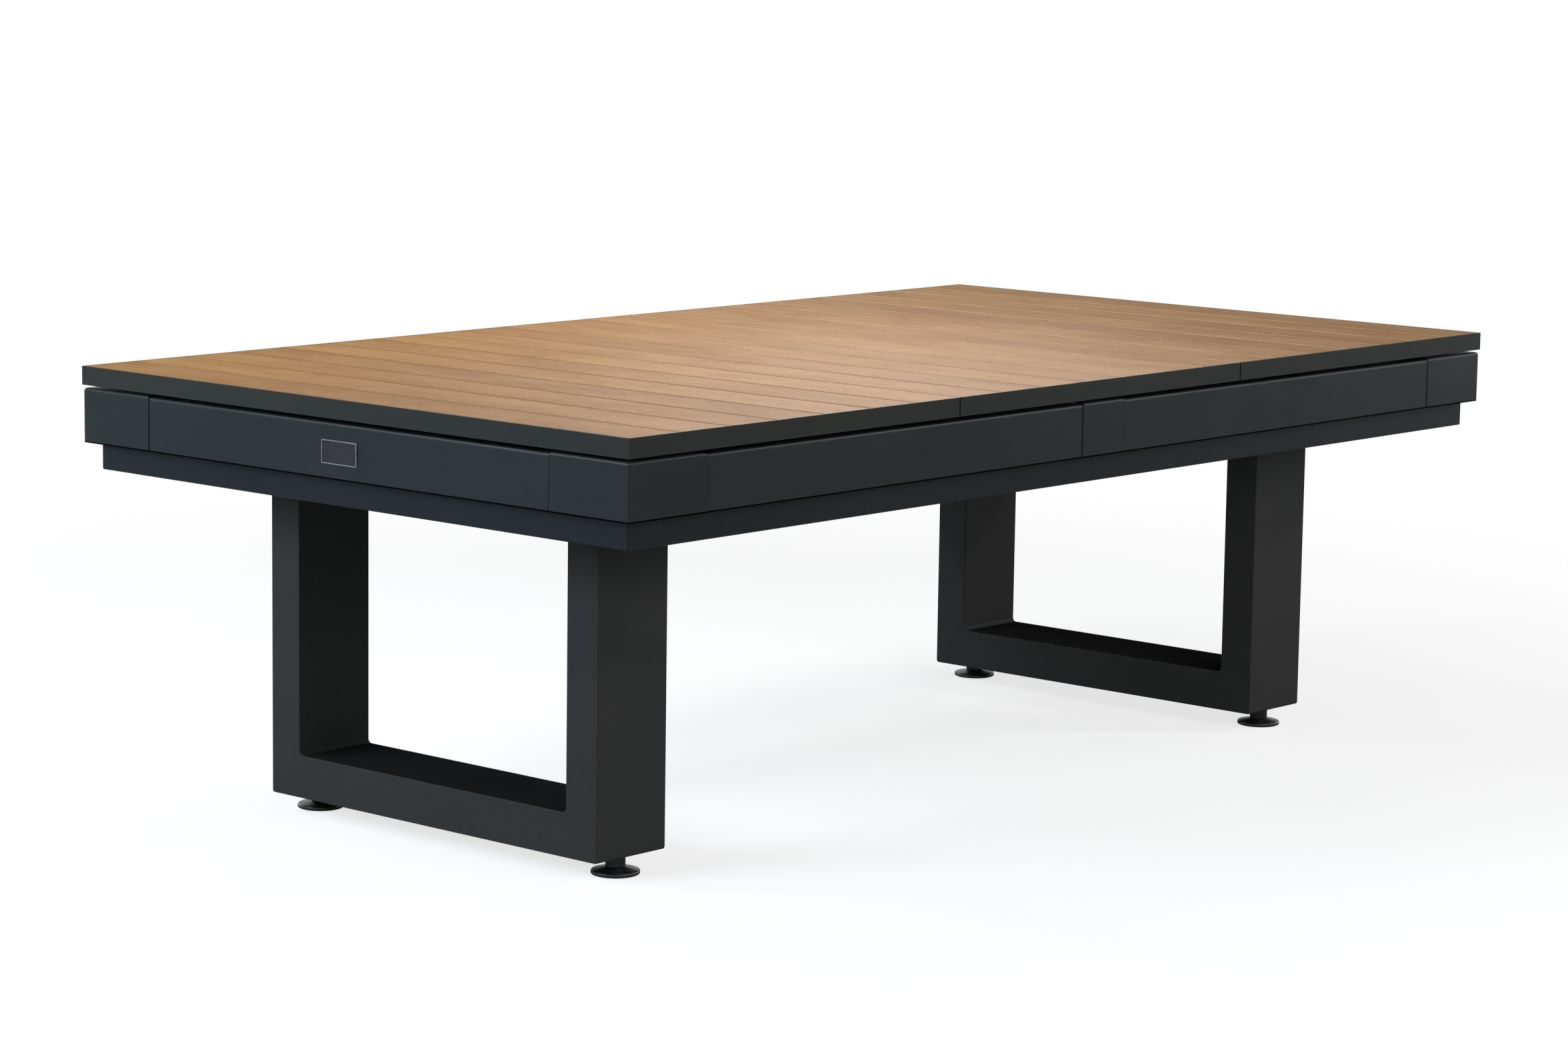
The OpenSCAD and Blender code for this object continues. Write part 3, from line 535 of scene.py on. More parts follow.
# %% Picking and pulling
def take(piece):
    """Makes a piece the only one selected, and the active one."""
    fresh()
    piece.select_set(True)
    bpy.context.view_layer.objects.active = piece


def edit(piece):
    """Opens a piece for editing with all of it selected."""
    take(piece)
    bpy.ops.object.mode_set(mode="EDIT")
    bpy.ops.mesh.select_all(action="SELECT")


def lies(part, x=None, y=None, z=None):
    """Whether the whole of a face or an edge lies at the given places."""
    wanted = [(axis, place) for axis, place in enumerate((x, y, z)) if place is not None]
    return all(abs(point.co[axis] - place) < TINY for point in part.verts for axis, place in wanted)


def pick(piece, rule, kind="FACE"):
    """Selects the faces, or the edges, that a rule says yes to."""
    edit(piece)
    bpy.ops.mesh.select_mode(type=kind)
    bpy.ops.mesh.select_all(action="DESELECT")
    shape = bmesh.from_edit_mesh(piece.data)
    found = [part for part in (shape.faces if kind == "FACE" else shape.edges) if rule(part)]
    for part in found:
        part.select_set(True)
    bmesh.update_edit_mesh(piece.data)
    if not found:
        raise ValueError("nothing was picked on " + piece.name)
    return len(found)


def pull(*by):
    """Extrudes what is selected along X, Y and Z."""
    bpy.ops.mesh.extrude_region_move(TRANSFORM_OT_translate={"value": by})


def round_edges(piece, rule, radius, segments=5):
    pick(piece, rule, "EDGE")
    bpy.ops.mesh.bevel(offset=radius, segments=segments, affect="EDGES")


def slice_at(piece, point, across, **keep):
    """Cuts all the way through a piece with a plane."""
    edit(piece)
    bpy.ops.mesh.bisect(plane_co=point, plane_no=across, **keep)

# %% Modifiers
def put_on(piece, kind, **settings):
    """Adds a modifier and applies it."""
    made = piece.modifiers.new(kind.lower(), kind)
    for setting, value in settings.items():
        setattr(made, setting, value)
    take(piece)
    bpy.ops.object.modifier_apply(modifier=made.name)


def carve(piece, *cutters, operation="DIFFERENCE"):
    """Cuts other shapes out of a piece, or joins them to it, and removes them."""
    for cutter in cutters:
        put_on(piece, "BOOLEAN", object=cutter, operation=operation, solver="EXACT")
        bpy.data.objects.remove(cutter)


def soften(piece, width, segments=3):
    """Rounds all sharp edges a little."""
    put_on(piece, "BEVEL", width=width, segments=segments, limit_method="ANGLE", angle_limit=SHARP)


def remove(*pieces):
    for piece in pieces:
        bpy.data.objects.remove(piece)


def smooth(piece):
    """Clears away slivers, and shades smoothly but leaves the large flat faces flat."""
    edit(piece)
    bpy.ops.mesh.dissolve_degenerate(threshold=TINY)
    take(piece)
    bpy.ops.object.shade_smooth_by_angle(angle=SHARP)
    put_on(piece, "WEIGHTED_NORMAL", keep_sharp=True)

# %% Copies
def copy(piece, name, at=(0, 0, 0), turn=(1, 1, 1)):
    """A copy with its own mesh, mirrored by the signs of turn and moved."""
    take(piece)
    bpy.ops.object.duplicate()
    made = named(name)
    made.scale, made.location = turn, at
    bpy.ops.object.transform_apply()
    if turn[0] * turn[1] * turn[2] < 0:
        edit(made)
        bpy.ops.mesh.normals_make_consistent(inside=False)
        fresh()
    return made


def join(name, pieces):
    """Makes several pieces one mesh."""
    fresh()
    for piece in pieces:
        piece.select_set(True)
    bpy.context.view_layer.objects.active = pieces[0]
    bpy.ops.object.join()
    return named(name)

# %% Fitting a finished piece
def fit(piece, finish, slot, body, *nodes):
    """Gives a piece its finish and its body, and hides the CAD pieces that it stands for."""
    fresh()
    piece.data.materials.clear()
    piece.data.materials.append(finish)
    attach(piece, body)
    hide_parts(*nodes)
    print(piece.name, "rides on", body, "with", len(piece.data.polygons), "faces")
    return piece


def recoat(piece, finish, rule):
    """Gives another finish to the faces that a rule says yes to."""
    piece.data.materials.append(finish)
    for face in piece.data.polygons:
        if rule(face):
            face.material_index = len(piece.data.materials) - 1


def set_down(model, places, name, finish, slot, node, *second):
    """Mirrors a finished model into each place; the names take the place's own name at the star.

    second is another finish, and the rule for the faces that take it.
    """
    for where, turn in places.items():
        made = copy(model, name.replace("*", where), turn=turn)
        smooth(made)
        fit(made, finish, slot, "table", node.replace("*", where))
        if second:
            recoat(made, *second)
    remove(model)

# %% Turned parts
def lathe(name, centre, outline, steps=64):
    """Turns a closed outline of (radius, height) points round an upright axis."""
    fresh()
    bpy.ops.mesh.primitive_circle_add(vertices=len(outline), radius=MM)
    piece = named(name)
    for point, (radius, height) in zip(piece.data.vertices, outline):
        point.co = (centre[0] + radius, centre[1], height)
    edit(piece)
    bpy.ops.mesh.spin(steps=steps, angle=math.tau, center=(*centre, 0), axis=(0, 0, 1))
    bpy.ops.mesh.select_all(action="SELECT")
    bpy.ops.mesh.remove_doubles(threshold=TINY / 2)
    bpy.ops.mesh.normals_make_consistent(inside=False)
    fresh()
    return piece


print("shaping helpers ready")

# %% [markdown]
# ## Lines and levels
# The table is the same on both sides and at both ends, so pieces are modelled on the +X, +Y
# quarter and copied. The lines that they share are read from the CAD pieces.

# %% Lines and levels
RIGHT_END, FAR_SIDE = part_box("rail_right"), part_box("rail_far_right")
NOSE_X, NOSE_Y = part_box("cushion_right")[0].x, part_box("cushion_far_right")[0].y
RAIL_Y = FAR_SIDE[1].y
RAIL_LOW, RAIL_TOP = FAR_SIDE[0].z, FAR_SIDE[1].z
SLATE_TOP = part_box("slate_centre")[1].z
ENDS = {"left": (-1, 1, 1), "right": (1, 1, 1)}
SIDES = {"near": (1, -1, 1), "far": (1, 1, 1)}
QUARTERS = {f"{side}_{end}": (x, y, 1)
            for side, (_, y, _) in SIDES.items() for end, (x, _, _) in ENDS.items()}
print("nose lines", round(NOSE_X, 4), round(NOSE_Y, 4), "rail top", round(RAIL_TOP, 4))

# %% [markdown]
# ## Slats
# Each panel has seven boards across the table, with a bevel along their upper edges that catches
# the light as a thin line. They could be one slab with grooves, but then the gaps would have a
# floor and the grain would run across them. One board is beveled and copied for each place
# instead.

# %% Boards
SLATS, SLAT_GAP, SLAT_BEVEL, SLAT_SOFT = 7, 4.5 * MM, 1.2 * MM, 0.3 * MM
FIRST_NUMBER, NUMBER_STEP = 0.2, 0.618  # a step that spreads the boards' tones evenly
THIRDS = ("left", "centre", "right")


def numbered(piece, value):
    """Stores a number and the board's middle on it, which its grain and tone read."""
    mark = piece.data.attributes.new("board", "FLOAT_VECTOR", "FACE")
    places = [point.co.x for point in piece.data.vertices]
    for face in mark.data:
        face.vector = (value, (min(places) + max(places)) / 2, 0)


for third, place_along in zip(THIRDS, range(3)):
    low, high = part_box(f"slats_{third}")
    width = (high.x - low.x - (SLATS - 1) * SLAT_GAP) / SLATS
    board = block("board", low, (low.x + width, high.y, high.z))
    round_edges(board, lambda edge: lies(edge, z=high.z), SLAT_BEVEL, 2)
    soften(board, SLAT_SOFT, 1)
    smooth(board)
    boards = [board]
    for step in range(1, SLATS):
        boards.append(copy(board, "board_copy", (step * (width + SLAT_GAP), 0, 0)))
    for step, each in enumerate(boards):
        numbered(each, (NUMBER_STEP * (step + SLATS * place_along) + FIRST_NUMBER) % 1)
    fit(join(f"{third}_slats", boards), slat_wood, "teak_slat", f"panel_{third}", f"slats_{third}")

# %% [markdown]
# ## Panel frames
# A panel hangs in a thin rim of sheet, open towards the next panel, with bars under the boards.
# The rim could be four strips, but a box with its lid, floor and joint sides taken off and a wall
# given to the rest has true corners at once.

# %% Rims and bars
RIM, BAR, BARS, RIM_SOFT, BAR_SOFT = 3 * MM, 22 * MM, 7, 0.5 * MM, 0.8 * MM
TOP_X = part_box("panel_frame_right")[1].x
for third in THIRDS:
    low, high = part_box(f"panel_frame_{third}")
    under_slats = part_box(f"slats_{third}")[0].z
    rim = block("rim", low, high)
    open_sides = [x for x in (low.x, high.x) if abs(x) < TOP_X - TINY]
    pick(rim, lambda face: lies(face, z=low.z) or lies(face, z=high.z)
         or any(lies(face, x=x) for x in open_sides))
    bpy.ops.mesh.delete(type="FACE")
    fresh()
    put_on(rim, "SOLIDIFY", thickness=RIM, offset=-1, use_even_offset=True)
    soften(rim, RIM_SOFT)
    pitch = (high.y - low.y - 2 * RIM - BAR) / (BARS - 1)
    inner_x = [x - math.copysign(RIM, x) if abs(x) > TOP_X - TINY else x for x in (low.x, high.x)]
    near, far = low.y + RIM, high.y - RIM
    bars = block("bars", (inner_x[0], near, low.z), (inner_x[0] + BAR, far, under_slats))
    parts = [block("side_bar", (inner_x[1] - BAR, near, low.z), (inner_x[1], far, under_slats))]
    for y in (near + step * pitch for step in range(BARS)):
        parts.append(block("bar", (inner_x[0] + RIM, y, low.z),
                           (inner_x[1] - RIM, y + BAR, under_slats)))
    carve(bars, *parts, operation="UNION")
    soften(bars, BAR_SOFT)
    made = join(f"{third}_panel_frame", [rim, bars])
    smooth(made)
    fit(made, rim_coat, "coated_panel_frame", f"panel_{third}", f"panel_frame_{third}")

# %% [markdown]
# ## Rails
# A rail is a long aluminium extrusion: a box that stands on the slate and carries the cushion,
# with its outer wall running on down to a small lip, so that it hides the slate's edge. It is made
# from one box. A cut along it marks the outer wall off, that strip is pulled down twice, and the
# last bit is pulled inwards as the lip. A tunnel along the box makes it hollow.

# %% One rail
REACH = RAIL_Y - NOSE_Y
CUSHION_DEPTH = 48 * MM
WALL, LIP, RAIL_EDGE, END_EDGE = 4 * MM, 10 * MM, 5.5 * MM, 1.6 * MM
# painted shade: the height of the nearly black strip along the foot of the rails and blocks
SHADE_STRIP = 2.6 * MM
RAIL_SHADE_LINE = RAIL_LOW + SHADE_STRIP
SIGHT_HOLE, SIGHT_DEEP, SIGHT_LINE = 5.3 * MM, 1.5 * MM, 80 * MM


def rail(name, start, stop, sights):
    """A rail along X with its nose line on the X axis; sights are places along it."""
    made = block(name, (start, CUSHION_DEPTH, SLATE_TOP), (stop, REACH, RAIL_TOP))
    slice_at(made, (0, REACH - WALL, 0), (0, 1, 0))
    pick(made, lambda face: lies(face, z=SLATE_TOP) and face.calc_center_median().y > REACH - WALL)
    pull(0, 0, RAIL_LOW + WALL - SLATE_TOP)
    pull(0, 0, -WALL)
    pick(made, lambda face: lies(face, y=REACH - WALL)
         and face.calc_center_median().z < RAIL_LOW + WALL)
    pull(0, WALL - LIP, 0)
    round_edges(made, lambda edge: lies(edge, y=REACH, z=RAIL_TOP), RAIL_EDGE, 6)
    for end in (start, stop):
        round_edges(made, lambda edge: lies(edge, x=end, y=REACH) and edge.calc_length() > WALL,
                    END_EDGE, 3)
    tunnel = block("tunnel", (start - WALL, CUSHION_DEPTH + WALL, SLATE_TOP + WALL),
                   (stop + WALL, REACH - WALL, RAIL_TOP - WALL))
    holes = [rod("sight_hole", (x, SIGHT_LINE), SIGHT_HOLE, RAIL_TOP - SIGHT_DEEP,
                 RAIL_TOP + WALL, 32) for x in sights]
    carve(made, tunnel, *holes)
    return made

# %% [markdown]
# The side rails are set down from one model, and the end rails from a longer one that is turned a
# quarter. A finished piece keeps its place in its mesh, so each turn and move is applied. A cut
# all round marks off the lowest strip, which takes the nearly black coat of painted shade.

# %% Set the rails down
def turned(piece, degrees, at):
    """Turns a piece about the upright axis through the origin, then moves it."""
    take(piece)
    piece.rotation_euler.z = math.radians(degrees)
    piece.location = at
    bpy.ops.object.transform_apply()


LINE_EDGE = 0.4 * MM
painted_shade_faces = (painted_shade_coat, lambda face: face.center.z < RAIL_SHADE_LINE)
low, high = FAR_SIDE
side_rail = rail("side_rail", low.x, high.x, [k * NOSE_X / 4 for k in (1, 2, 3)])
half = RIGHT_END[1].y
end_rail = rail("end_rail", -half, half, [k * NOSE_Y / 2 for k in (-1, 0, 1)])
turned(side_rail, 0, (0, NOSE_Y, 0))
turned(end_rail, -90, (NOSE_X, 0, 0))
for made in (side_rail, end_rail):
    soften(made, LINE_EDGE, 2)
    slice_at(made, (0, 0, RAIL_SHADE_LINE), (0, 0, 1))
set_down(side_rail, QUARTERS, "*_rail", rail_coat, "coated_rail", "rail_*", *painted_shade_faces)
set_down(end_rail, ENDS, "*_end_rail", rail_coat, "coated_rail", "rail_*", *painted_shade_faces)

# %% [markdown]
# ## Pocket blocks
# The blocks are castings between the rails. Each is a box with well-rounded upper edges and finer
# upright ones, set by a weight on each edge. From it the playing field, the slate's corner, the
# pocket and the space under the skin are cut. The roundings come first, while the box still has
# plain edges. The nearly black strip of painted shade runs along the foot of a block as it does
# along the rails.

# %% Casting a block
BLOCK_EDGE, UPRIGHT_EDGE, JOINT_EDGE, POCKET_EDGE = 5.5 * MM, 2.5 * MM, 1.5 * MM, 3 * MM
BLOCK_WALL, BLOCK_SKIN = 6 * MM, 8 * MM
SLATE_SIDE, PAST = 100.3 * MM, 5 * MM  # slate's edge beyond the noses; how far a cutter overruns
CORNER_R, SIDE_R, POCKET_STEPS = 58 * MM, 50 * MM, 96
BACK_X, BACK_Y = NOSE_X + CUSHION_DEPTH, NOSE_Y + CUSHION_DEPTH  # the backs of the cushions
CORNER_POCKET, SIDE_POCKET = (sum(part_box(name), Vector()) / 2
                              for name in ("corner_cup_far_right", "side_cup_far"))


def cast(name, low, high, pocket_at, radius, edges, solid, openings):
    """A block. edges are radii and the rules for the edges that get them; solid is kept out of the
    space under the skin, and openings are cut from the block."""
    made = block(name, low, high)
    for width, rule in edges:
        pick(made, rule, "EDGE")
        bpy.ops.transform.edge_bevelweight(value=width / BLOCK_EDGE)
    put_on(made, "BEVEL", width=BLOCK_EDGE, segments=6, limit_method="WEIGHT")
    pocket = rod("pocket", pocket_at.xy, radius, SLATE_TOP - PAST, high.z + PAST, POCKET_STEPS)
    wall = rod("pocket_wall", pocket_at.xy, radius + BLOCK_WALL, low.z - 2 * PAST, high.z,
               POCKET_STEPS)
    under = block("under", (low.x + BLOCK_WALL, low.y + BLOCK_WALL, low.z - PAST),
                  (high.x - BLOCK_WALL, high.y - BLOCK_WALL, high.z - BLOCK_SKIN))
    carve(under, *solid, wall)
    carve(made, *openings, pocket, under)
    round_edges(made, lambda edge: lies(edge, z=high.z) and all(
        abs((point.co.xy - pocket_at.xy).length - radius) < TINY for point in edge.verts),
        POCKET_EDGE, 4)
    slice_at(made, (0, 0, BLOCK_SHADE_LINE), (0, 0, 1))
    fresh()
    print(name, len(made.data.polygons), "faces")
    return made

# %% Corner and side blocks
low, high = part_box("corner_block_far_right")
BLOCK_SHADE_LINE = low.z + SHADE_STRIP
past = low - Vector((PAST,) * 3)
corner = cast(
    "corner_block", low, high, CORNER_POCKET, CORNER_R,
    [(BLOCK_EDGE, lambda edge: lies(edge, z=high.z)),
     (UPRIGHT_EDGE, lambda edge: lies(edge, x=high.x, y=high.y)),
     (JOINT_EDGE, lambda edge: lies(edge, x=high.x, y=low.y) or lies(edge, x=low.x, y=high.y))],
    [block("inner", past, (BACK_X + BLOCK_WALL, BACK_Y + BLOCK_WALL, high.z + PAST))],
    [block("field", past, (BACK_X, BACK_Y, high.z + PAST)),
     block("bed", past, (NOSE_X + SLATE_SIDE, NOSE_Y + SLATE_SIDE, SLATE_TOP))],
)
low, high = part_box("side_block_far")
low.y = BACK_Y
side = cast(
    "side_block", low, high, SIDE_POCKET, SIDE_R,
    [(BLOCK_EDGE, lambda edge: lies(edge, z=high.z) and not lies(edge, y=low.y)),
     (JOINT_EDGE, lambda edge: lies(edge, x=low.x, y=high.y) or lies(edge, x=high.x, y=high.y))],
    [],
    [block("bed", (low.x - PAST, NOSE_Y, low.z - PAST),
           (high.x + PAST, NOSE_Y + SLATE_SIDE, SLATE_TOP))],
)
painted_shade_faces = (painted_shade_coat, lambda face: face.center.z < BLOCK_SHADE_LINE)
set_down(corner, QUARTERS, "*_corner", block_coat, "coated_casting", "corner_block_*", *painted_shade_faces)
set_down(side, SIDES, "*_side_block", block_coat, "coated_casting", "side_block_*", *painted_shade_faces)

# %% [markdown]
# ## Skirts
# A folded sheet runs round the chassis under the rails, with a narrow flange turned in below and a
# mitre at each corner. One ring is made first: a box loses its lid and the middle of its floor,
# its folds are rounded and the sheet is given its thickness. Then four copies are each cut at both
# mitres, a hair short, so that the joints show as fine lines.

# %% Skirts
SHEET, FLANGE, FOLD, MITRE_GAP, CUT_SOFT = 2 * MM, 25 * MM, 3 * MM, 0.15 * MM, 0.35 * MM
A_METRE = 1.0  # only the ring's own long edges are longer
low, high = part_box("skirt_near")[0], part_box("skirt_far")[1]
low.x, high.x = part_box("skirt_left")[0].x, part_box("skirt_right")[1].x
ring = block("skirt_ring", low, high)
pick(ring, lambda face: lies(face, z=high.z))
bpy.ops.mesh.delete(type="FACE")
pick(ring, lambda face: lies(face, z=low.z))
bpy.ops.mesh.inset(thickness=FLANGE)
bpy.ops.mesh.delete(type="FACE")
round_edges(ring, lambda edge: not edge.is_boundary and (
    edge.calc_length() > A_METRE or abs(edge.verts[0].co.z - edge.verts[1].co.z) > FLANGE), FOLD, 5)
fresh()
put_on(ring, "SOLIDIFY", thickness=SHEET, offset=-1, use_even_offset=True)
corners = [Vector((x, y, 0)) for x in (low.x, high.x) for y in (low.y, high.y)]
for name, out in (("near", (0, -1)), ("far", (0, 1)), ("left", (-1, 0)), ("right", (1, 0))):
    made = copy(ring, f"{name}_skirt")
    out = Vector((*out, 0))
    for at in (point for point in corners if point.dot(out) > 0):
        along = at - out * at.dot(out)
        across = (along.normalized() - out).normalized()
        slice_at(made, at - across * MITRE_GAP, across, clear_outer=True, use_fill=True)
    fresh()
    soften(made, CUT_SOFT, 2)
    smooth(made)
    fit(made, shaded_skirt_coat, "coated_steel", "table", f"skirt_{name}")
remove(ring)

# %% [markdown]
# ## Leg frames
# A leg frame is a wide, flat ring of box section: a bottom bar, two posts and a plate on each post
# that bolts to the beams. The bar is a box cut at the insides of the posts, and its two ends are
# pulled up. The inner corners get a fillet, the outer ones below a small radius, and all long
# edges the soft radius of formed tube. The tops of the low bars take a coat of their own: matt, as
# a gloss there would mirror the white background, and darker, as painted shade from the table
# above.

# %% Leg frames
LEG_EDGE, LEG_FILLET, LEG_CORNER, PLATE_CORNER = 2.5 * MM, 8 * MM, 5 * MM, 6 * MM
POST, BOTTOM_BAR, LEG_DEPTH, PLATE, PLATE_SOFT = 73.3 * MM, 78 * MM, 170 * MM, 8 * MM, 0.6 * MM
low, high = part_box("leg_frame_right")
leg_x, post_y = (low.x + high.x) / 2, sum(point.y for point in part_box("foot_stem_far_right")) / 2
outer, inner = post_y + POST / 2, post_y - POST / 2
bar_top, plate_low = low.z + BOTTOM_BAR, high.z - PLATE
leg = block("leg", (leg_x - LEG_DEPTH / 2, -outer, low.z), (leg_x + LEG_DEPTH / 2, outer, bar_top))
for y in (-inner, inner):
    slice_at(leg, (0, y, 0), (0, 1, 0))
pick(leg, lambda face: lies(face, z=bar_top) and abs(face.calc_center_median().y) > inner)
pull(0, 0, plate_low - bar_top)
round_edges(leg, lambda edge: any(lies(edge, y=y, z=bar_top) for y in (-inner, inner)),
            LEG_FILLET, 6)
round_edges(leg, lambda edge: any(lies(edge, y=y, z=low.z) for y in (-outer, outer)), LEG_CORNER)
soften(leg, LEG_EDGE, 4)

# %% Top plates
parts = []
for side_y in (-post_y, post_y):
    half_width = high.y - post_y
    plate = block("plate", (low.x, side_y - half_width, plate_low),
                  (high.x, side_y + half_width, high.z))
    round_edges(plate, lambda edge: not lies(edge, z=plate_low) and not lies(edge, z=high.z),
                PLATE_CORNER, 5)
    soften(plate, PLATE_SOFT, 2)
    parts.append(plate)
leg = join("leg", [leg, *parts])
# the bar tops take the darker coat as painted shade
set_down(leg, ENDS, "*_leg_frame", frame_coat, "coated_steel", "leg_frame_*", shaded_bar_coat,
         lambda face: face.normal.z > 1 - TINY and abs(face.center.z - bar_top) < TINY)

# %% [markdown]
# ## Levelling feet
# Under each post a threaded bush takes a stem, and the stem ends in a round pad on which the table
# stands. Pads and bushes are turned parts, so their outlines are drawn on one side of the axis and
# spun. The stem's thread could be a bump, but it shows where the foot is let down, so it is cut:
# one tooth's outline climbs round the axis.

# %% Foot pads
PAD_SIDE, PAD_FLOOR, PAD_STEPS, PAD_SOFT = 8 * MM, 3 * MM, 80, 0.35 * MM
HOLE_R, ROOM_R, ROOM_TOP = 8.05 * MM, 12.05 * MM, 6.6 * MM  # round the stem and round its flange


def around(radius, level, *points):
    """Points of an outline, in millimetres out from a radius and up from a level."""
    return [(radius + out * MM, level + up * MM) for out, up in points]


low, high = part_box("foot_pad_far_right")
foot = Vector(((low.x + high.x) / 2, (low.y + high.y) / 2))
pad_r, bush_r = (high.x - low.x) / 2, (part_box("leveller_bushes")[1].y - foot.y)
pad = lathe("pad", foot, [
    (0, 0), *around(pad_r, 0, (-3, 0), (-3, 0.6), (-1.4, 0.6), (0, 2.2)),
    *around(pad_r, PAD_SIDE, (0, -2.4), (-0.7, -0.9), (-2.2, 0), (-3.4, -0.5), (-4.2, 0.2)),
    *around(bush_r, high.z, (2, -0.4), (0.4, 0)), *around(HOLE_R, high.z, (0.4, 0), (0, -0.4)),
    (HOLE_R, ROOM_TOP), (ROOM_R, ROOM_TOP), (ROOM_R, PAD_FLOOR), (0, PAD_FLOOR),
], PAD_STEPS)
soften(pad, PAD_SOFT, 2)

# %% Stems
PITCH, CREST, ROOT, THREAD_SIDES, SPARE_TURNS = 2 * MM, 7.95 * MM, 6.8 * MM, 24, 3
TOOTH = ((ROOT, 0), (CREST, 0.43), (CREST, 0.57), (ROOT, 1))  # radius, and share of the pitch
SHANK_DEEP, FLANGE_R, FLANGE_THICK = 0.6 * MM, 12 * MM, 3 * MM
low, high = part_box("foot_stem_far_right")
shank_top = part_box("foot_pad_far_right")[1].z - SHANK_DEEP
turns = math.ceil((high.z - shank_top) / PITCH) + SPARE_TURNS
fresh()
bpy.ops.mesh.primitive_circle_add(vertices=4, radius=MM)
stem = named("stem")
start = shank_top - 2 * PITCH
for point, (radius, share) in zip(stem.data.vertices, TOOTH):
    point.co = (radius, 0, start + share * PITCH)
pick(stem, lambda edge: abs(edge.verts[0].co.x - edge.verts[1].co.x) < TINY
     and edge.verts[0].co.x < CREST - TINY, "EDGE")
bpy.ops.mesh.delete(type="EDGE")
fresh()
put_on(stem, "SCREW", angle=math.tau, screw_offset=PITCH, iterations=turns, steps=THREAD_SIDES,
       use_merge_vertices=True, merge_threshold=TINY / 2)
slice_at(stem, (0, 0, shank_top - PITCH / 2), (0, 0, 1), clear_inner=True, use_fill=True)
slice_at(stem, (0, 0, high.z - MM), (0, 0, 1), clear_outer=True, use_fill=True)
bpy.ops.mesh.select_all(action="SELECT")
bpy.ops.mesh.remove_doubles(threshold=TINY / 2)
bpy.ops.mesh.normals_make_consistent(inside=False)
flange = lathe("flange", (0, 0), [
    (0, low.z), *around(FLANGE_R, low.z, (-0.4, 0), (0, 0.4), (0, 2.6), (-0.4, 3)),
    (CREST, low.z + FLANGE_THICK), (CREST, shank_top), (0, shank_top),
], THREAD_SIDES)
tip = lathe("tip", (0, 0), [
    (0, high.z - PITCH), *around(ROOT, high.z, (-0.1, -2), (-0.1, -0.8), (-0.9, 0)), (0, high.z),
], THREAD_SIDES)
carve(stem, flange, tip, operation="UNION")
print("stem", len(stem.data.polygons), "faces,", turns, "turns of thread")

# %% Bushes
low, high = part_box("leveller_bushes")
NECK_R, BUSH_STEP, BORE_EDGE = 13 * MM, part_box("leg_frame_right")[0].z, 0.6 * MM
bush = lathe("bush", (0, 0), [
    (HOLE_R + BORE_EDGE, low.z), *around(bush_r, low.z, (-0.9, 0), (0, 0.9)),
    *around(bush_r, BUSH_STEP, (0, -0.4), (-0.4, 0)), (NECK_R, BUSH_STEP),
    *around(NECK_R, high.z, (0, -0.8), (-0.8, 0)), (HOLE_R + BORE_EDGE, high.z),
    (HOLE_R, high.z - BORE_EDGE), (HOLE_R, low.z + BORE_EDGE),
])

# %% Set the feet down
bushes = []
for quarter, (x, y, _) in QUARTERS.items():
    at = (x * foot.x, y * foot.y, 0)
    made = copy(pad, f"{quarter}_pad", turn=(x, y, 1))
    smooth(made)
    fit(made, pad_black, "foot_pad", f"foot_pad_{quarter}", f"foot_pad_{quarter}")
    made = copy(stem, f"{quarter}_stem", at)
    smooth(made)
    fit(made, turned_steel, "stem_steel", f"foot_stem_{quarter}", f"foot_stem_{quarter}")
    bushes.append(copy(bush, "bush_copy", at))
bushes = join("bushes", bushes)
smooth(bushes)
fit(bushes, black_gloss, "black_steel", "table", "leveller_bushes")
remove(pad, stem, bush)

# %% [markdown]
# ## Pocket cups
# Each pocket is a tapered cup with a flange that hangs from the slate's edge under a block,
# moulded in black. Its outline is drawn with its wall, rounded at the lip and at the floor, and
# spun. A ring of drain slots is left out, because nothing shows whether it has them.

# %% Pocket cups
CUP_WALL, CUP_FLANGE, CUP_IN, CUP_TAPER, CUP_SOFT = 3 * MM, 6 * MM, 3 * MM, 7 * MM, 0.7 * MM


def cup(name, centre, radius, low, high):
    outer = radius - CUP_IN
    made = lathe(name, centre, [
        (0, low), *around(outer - CUP_TAPER, low, (-4, 0), (0, 4)),
        *around(outer, high - CUP_WALL, (0, -1.5), (1.5, 0)),
        (radius + CUP_FLANGE, high - CUP_WALL), (radius + CUP_FLANGE, high),
        *around(outer - CUP_WALL, high, (2, 0), (0, -2)),
        *around(outer - CUP_TAPER - CUP_WALL, low + CUP_WALL, (0, 5), (-5, 0)), (0, low + CUP_WALL),
    ])
    soften(made, CUP_SOFT, 2)
    return made


low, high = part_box("corner_cup_far_right")
corner_cup = cup("corner_cup", CORNER_POCKET.xy, CORNER_R, low.z, high.z)
side_cup = cup("side_pocket_cup", SIDE_POCKET.xy, SIDE_R, low.z, high.z)
set_down(corner_cup, QUARTERS, "*_cup", cup_black, "pocket_liner", "corner_cup_*")
set_down(side_cup, SIDES, "*_side_cup", cup_black, "pocket_liner", "side_cup_*")

# %% [markdown]
# ## Bed cloth
# The cloth is stretched flat over the slates and glued, with its edges under the rails. It is cut
# away round each pocket. As it lies dead flat, it is a thin sheet with its openings cut out, and
# the weave and nap are left to its finish.

